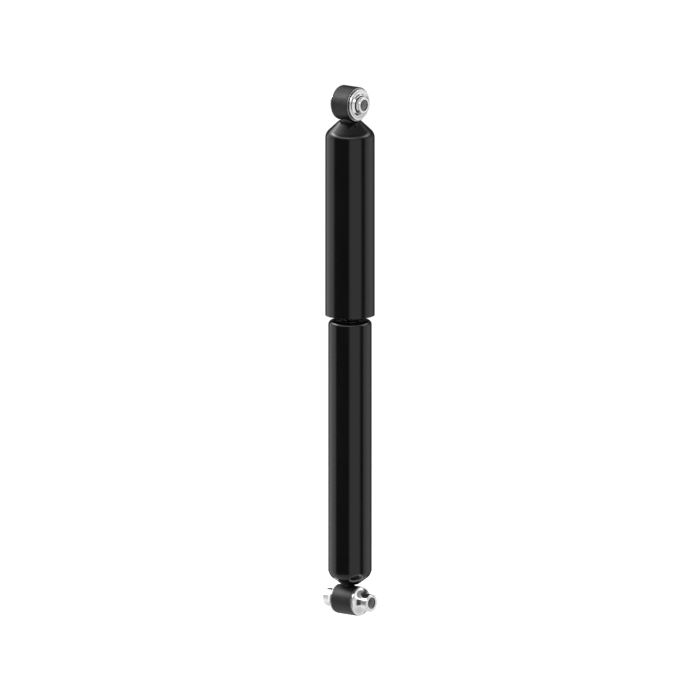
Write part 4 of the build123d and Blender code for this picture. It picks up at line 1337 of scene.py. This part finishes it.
@dataclass
class Studio:
    """Floor, world, soft lamps, reflection screens and the camera."""

    azimuth: float = math.radians(40)
    elevation: float = math.radians(10.4)
    view_width: float = 0.76566
    aim_height: float = 0.2778
    floor_level: float = -0.25
    floor_radius: float = 14.0
    floor_rings: int = 60
    floor_sides: int = 144
    floor_tone: Tone = (0.82, 0.82, 0.82)
    floor_glow: float = 0.76
    floor_lobe: Lobe = Lobe(-104, 0, 24, 90, 0.22)
    floor_foot_shade: float = 0.3
    floor_foot_reach: float = 0.3
    world_light: float = 0.32
    camera_distance: float = 3.0
    screen_radius: float = 0.4
    screen_top: tuple[float, float] = (2.0, 1.25)

    def screens(self) -> list[Screen]:
        """Screens that give the tubes their dark bands."""
        radius = self.screen_radius
        wall = ((radius, self.floor_level), (radius, 0.0), self.screen_top)
        return [
            Screen("left_screen", -86, 4, 14, 14, wall),
            Screen("right_screen", 45, 83, 16, 18, wall),
            Screen("back_screen", 100, 230, 50, 18, wall),
        ]

    def dome(self) -> Dome:
        """Dome with a glow at each side, a band over the front, a broad glow and a dim patch behind."""
        return Dome(
            (
                Lobe(-103, 37, 14, 4, 11.0),
                Lobe(95, 31, 16, 5, 5.0),
                Lobe(-25, 32, 45, 6, 3.2),
                Lobe(-125, 42, 22, 18, 2.5),
                Lobe(185, 35, 20, 14, -0.8),
            )
        )

    def lamps(self) -> list[Lamp]:
        """Lamps that light the object from both sides and the front."""
        return [
            Lamp("left_lamp", -112, 34, 1.5, (1.3, 0.6), 8.0),
            Lamp("front_lamp", 10, 34, 1.7, (0.9, 0.5), 2.3),
            Lamp("right_lamp", 102, 34, 1.5, (0.9, 0.5), 4.0),
        ]

    def direction(self, bearing: float, rise: float) -> Vector:
        """Unit vector at a bearing right of the camera, seen from the object, and a rise."""
        turn = self.azimuth + bearing
        flat = math.cos(rise)
        return Vector((math.sin(turn) * flat, -math.cos(turn) * flat, math.sin(rise)))

    def camera(self) -> None:
        """Orthographic camera at the photograph's angle."""
        data = bpy.data.cameras.new("camera")
        data.type = "ORTHO"
        data.ortho_scale = self.view_width
        data.clip_end = 100.0
        back = self.direction(0.0, self.elevation)
        bpy.context.scene.camera = self.aimed("camera", data, back, self.camera_distance)

    def aimed(self, name: str, data: bpy.types.ID, towards: Vector, distance: float) -> bpy.types.Object:
        """Object of a camera or lamp that looks at the middle of the part from a direction."""
        made = bpy.data.objects.new(name, data)
        made.location = Vector((0, 0, self.aim_height)) + towards * distance
        made.rotation_mode = "QUATERNION"
        made.rotation_quaternion = (-towards).to_track_quat("-Z", "Y")
        bpy.context.scene.collection.objects.link(made)
        return made

    def light(self, lamp: Lamp) -> None:
        """Lamp aimed at the middle of the part, unseen in reflections.

        Its energy is its radiance times pi times its area.
        """
        data = bpy.data.lights.new(lamp.name, "AREA")
        data.shape = "RECTANGLE"
        data.size, data.size_y = lamp.size
        data.energy = lamp.radiance * math.pi * lamp.size[0] * lamp.size[1]
        towards = self.direction(math.radians(lamp.bearing), math.radians(lamp.rise))
        self.aimed(lamp.name, data, towards, lamp.distance).visible_glossy = False

    def floor(self) -> None:
        """Pale floor: white to the camera over its shaded colour, and a soft white in reflections.

        In reflections its level is one plus a lobe on the left, where the light is strongest,
        times one less a bell curve of the distance from the object's foot.
        """
        radii = np.linspace(MM, 1, self.floor_rings) ** 2 * self.floor_radius
        angles = np.linspace(0, 2 * np.pi, self.floor_sides, endpoint=False)
        outline = np.stack([np.full_like(radii, self.floor_level), radii], axis=1)
        grid = turned(outline, angles, Spin.UPRIGHT)
        surface = Surface(grid.reshape(-1, 3), grid_quads(len(radii), len(angles), False, True))
        board = StageBoard(surface.piece("floor"))
        bearings = np.degrees(angles - self.azimuth)[None, :] + 90
        left = self.floor_lobe.over(bearings, np.zeros((len(radii), 1)))
        shade = self.floor_foot_shade * np.exp(-((radii[:, None] / self.floor_foot_reach) ** 2))
        level = board.stored("level", (1 + left) * (1 - shade))
        matt = new_node(board.tree, "BsdfDiffuse", Color=(*self.floor_tone, 1.0))
        both = new_node(board.tree, "AddShader")
        white = board.glow(self.seen(board.tree, self.floor_glow, 0.0, "Is Camera Ray"))
        board.tree.links.new(matt.outputs["BSDF"], both.inputs[0])
        board.tree.links.new(white, both.inputs[1])
        mirrored = self.seen(board.tree, 1.0, 0.0, "Is Glossy Ray", "Is Transmission Ray")
        board.finish(board.mixed(mirrored, both.outputs["Shader"], board.glow(level)), False)

    def seen(self, tree: bpy.types.NodeTree, shown: float, lit: float, *rays: str) -> Socket:
        """One strength for some kinds of ray, and another for the rest."""
        path = new_node(tree, "LightPath")
        choice = new_node(tree, "MapRange", To_Min=lit, To_Max=shown)
        any_ray = path.outputs[rays[0]]
        for ray in rays[1:]:
            either = new_node(tree, "Math")
            either.operation = "MAXIMUM"
            tree.links.new(any_ray, either.inputs[0])
            tree.links.new(path.outputs[ray], either.inputs[1])
            any_ray = either.outputs["Value"]
        tree.links.new(any_ray, choice.inputs["Value"])
        return choice.outputs["Result"]

    def world(self) -> None:
        """World: white to the camera and in reflections, a plain level for lighting."""
        made = bpy.data.worlds.new("world")
        bpy.context.scene.world = made
        made.use_nodes = True
        background = made.node_tree.nodes["Background"]
        background.inputs["Color"].default_value = (1, 1, 1, 1)
        rays = ("Is Camera Ray", "Is Glossy Ray", "Is Transmission Ray")
        strength = self.seen(made.node_tree, 1.0, self.world_light, *rays)
        made.node_tree.links.new(strength, background.inputs["Strength"])

    def build(self) -> None:
        """Sets the stage and the view."""
        bpy.context.scene.view_settings.view_transform = "Standard"
        self.camera()
        self.world()
        self.floor()
        for lamp in self.lamps():
            self.light(lamp)
        self.dome().build(self.azimuth)
        for screen in self.screens():
            screen.build(self.azimuth)
            log.info("%s: reflection screen", screen.name)


def main(loaded: dict) -> None:
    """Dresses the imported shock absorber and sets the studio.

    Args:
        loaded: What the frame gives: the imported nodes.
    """
    logging.basicConfig(level=logging.INFO, format="%(message)s")
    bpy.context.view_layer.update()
    nodes = loaded["nodes"]
    low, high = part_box("upper_eye_ring")
    upper_height = (low.z + high.z) / 2
    sleeve_ends = (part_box("lower_eye_sleeve")[1].x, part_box("upper_eye_sleeve")[1].x)
    palette = Palette(upper_height, sleeve_ends)
    palette.build()
    Cylinder(palette, nodes).build()
    RodAndPiston(palette, nodes).build()
    lower_level, upper_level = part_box("base_cap")[0].z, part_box("dust_tube")[1].z
    lower = (0.0, LOWER_RING_WALL, lower_level, LOWER_WELD)
    upper = (upper_height, UPPER_RING_WALL, upper_level, UPPER_WELD)
    Eye(palette, nodes, "lower", "cylinder", *lower).build()
    Eye(palette, nodes, "upper", "rod", *upper, seed=2).build()
    UpperWashers(palette, nodes, upper_height).build()
    LowerFlanges(palette, nodes).build()
    Studio().build()


if __name__ == "__main__":
    main(frame)
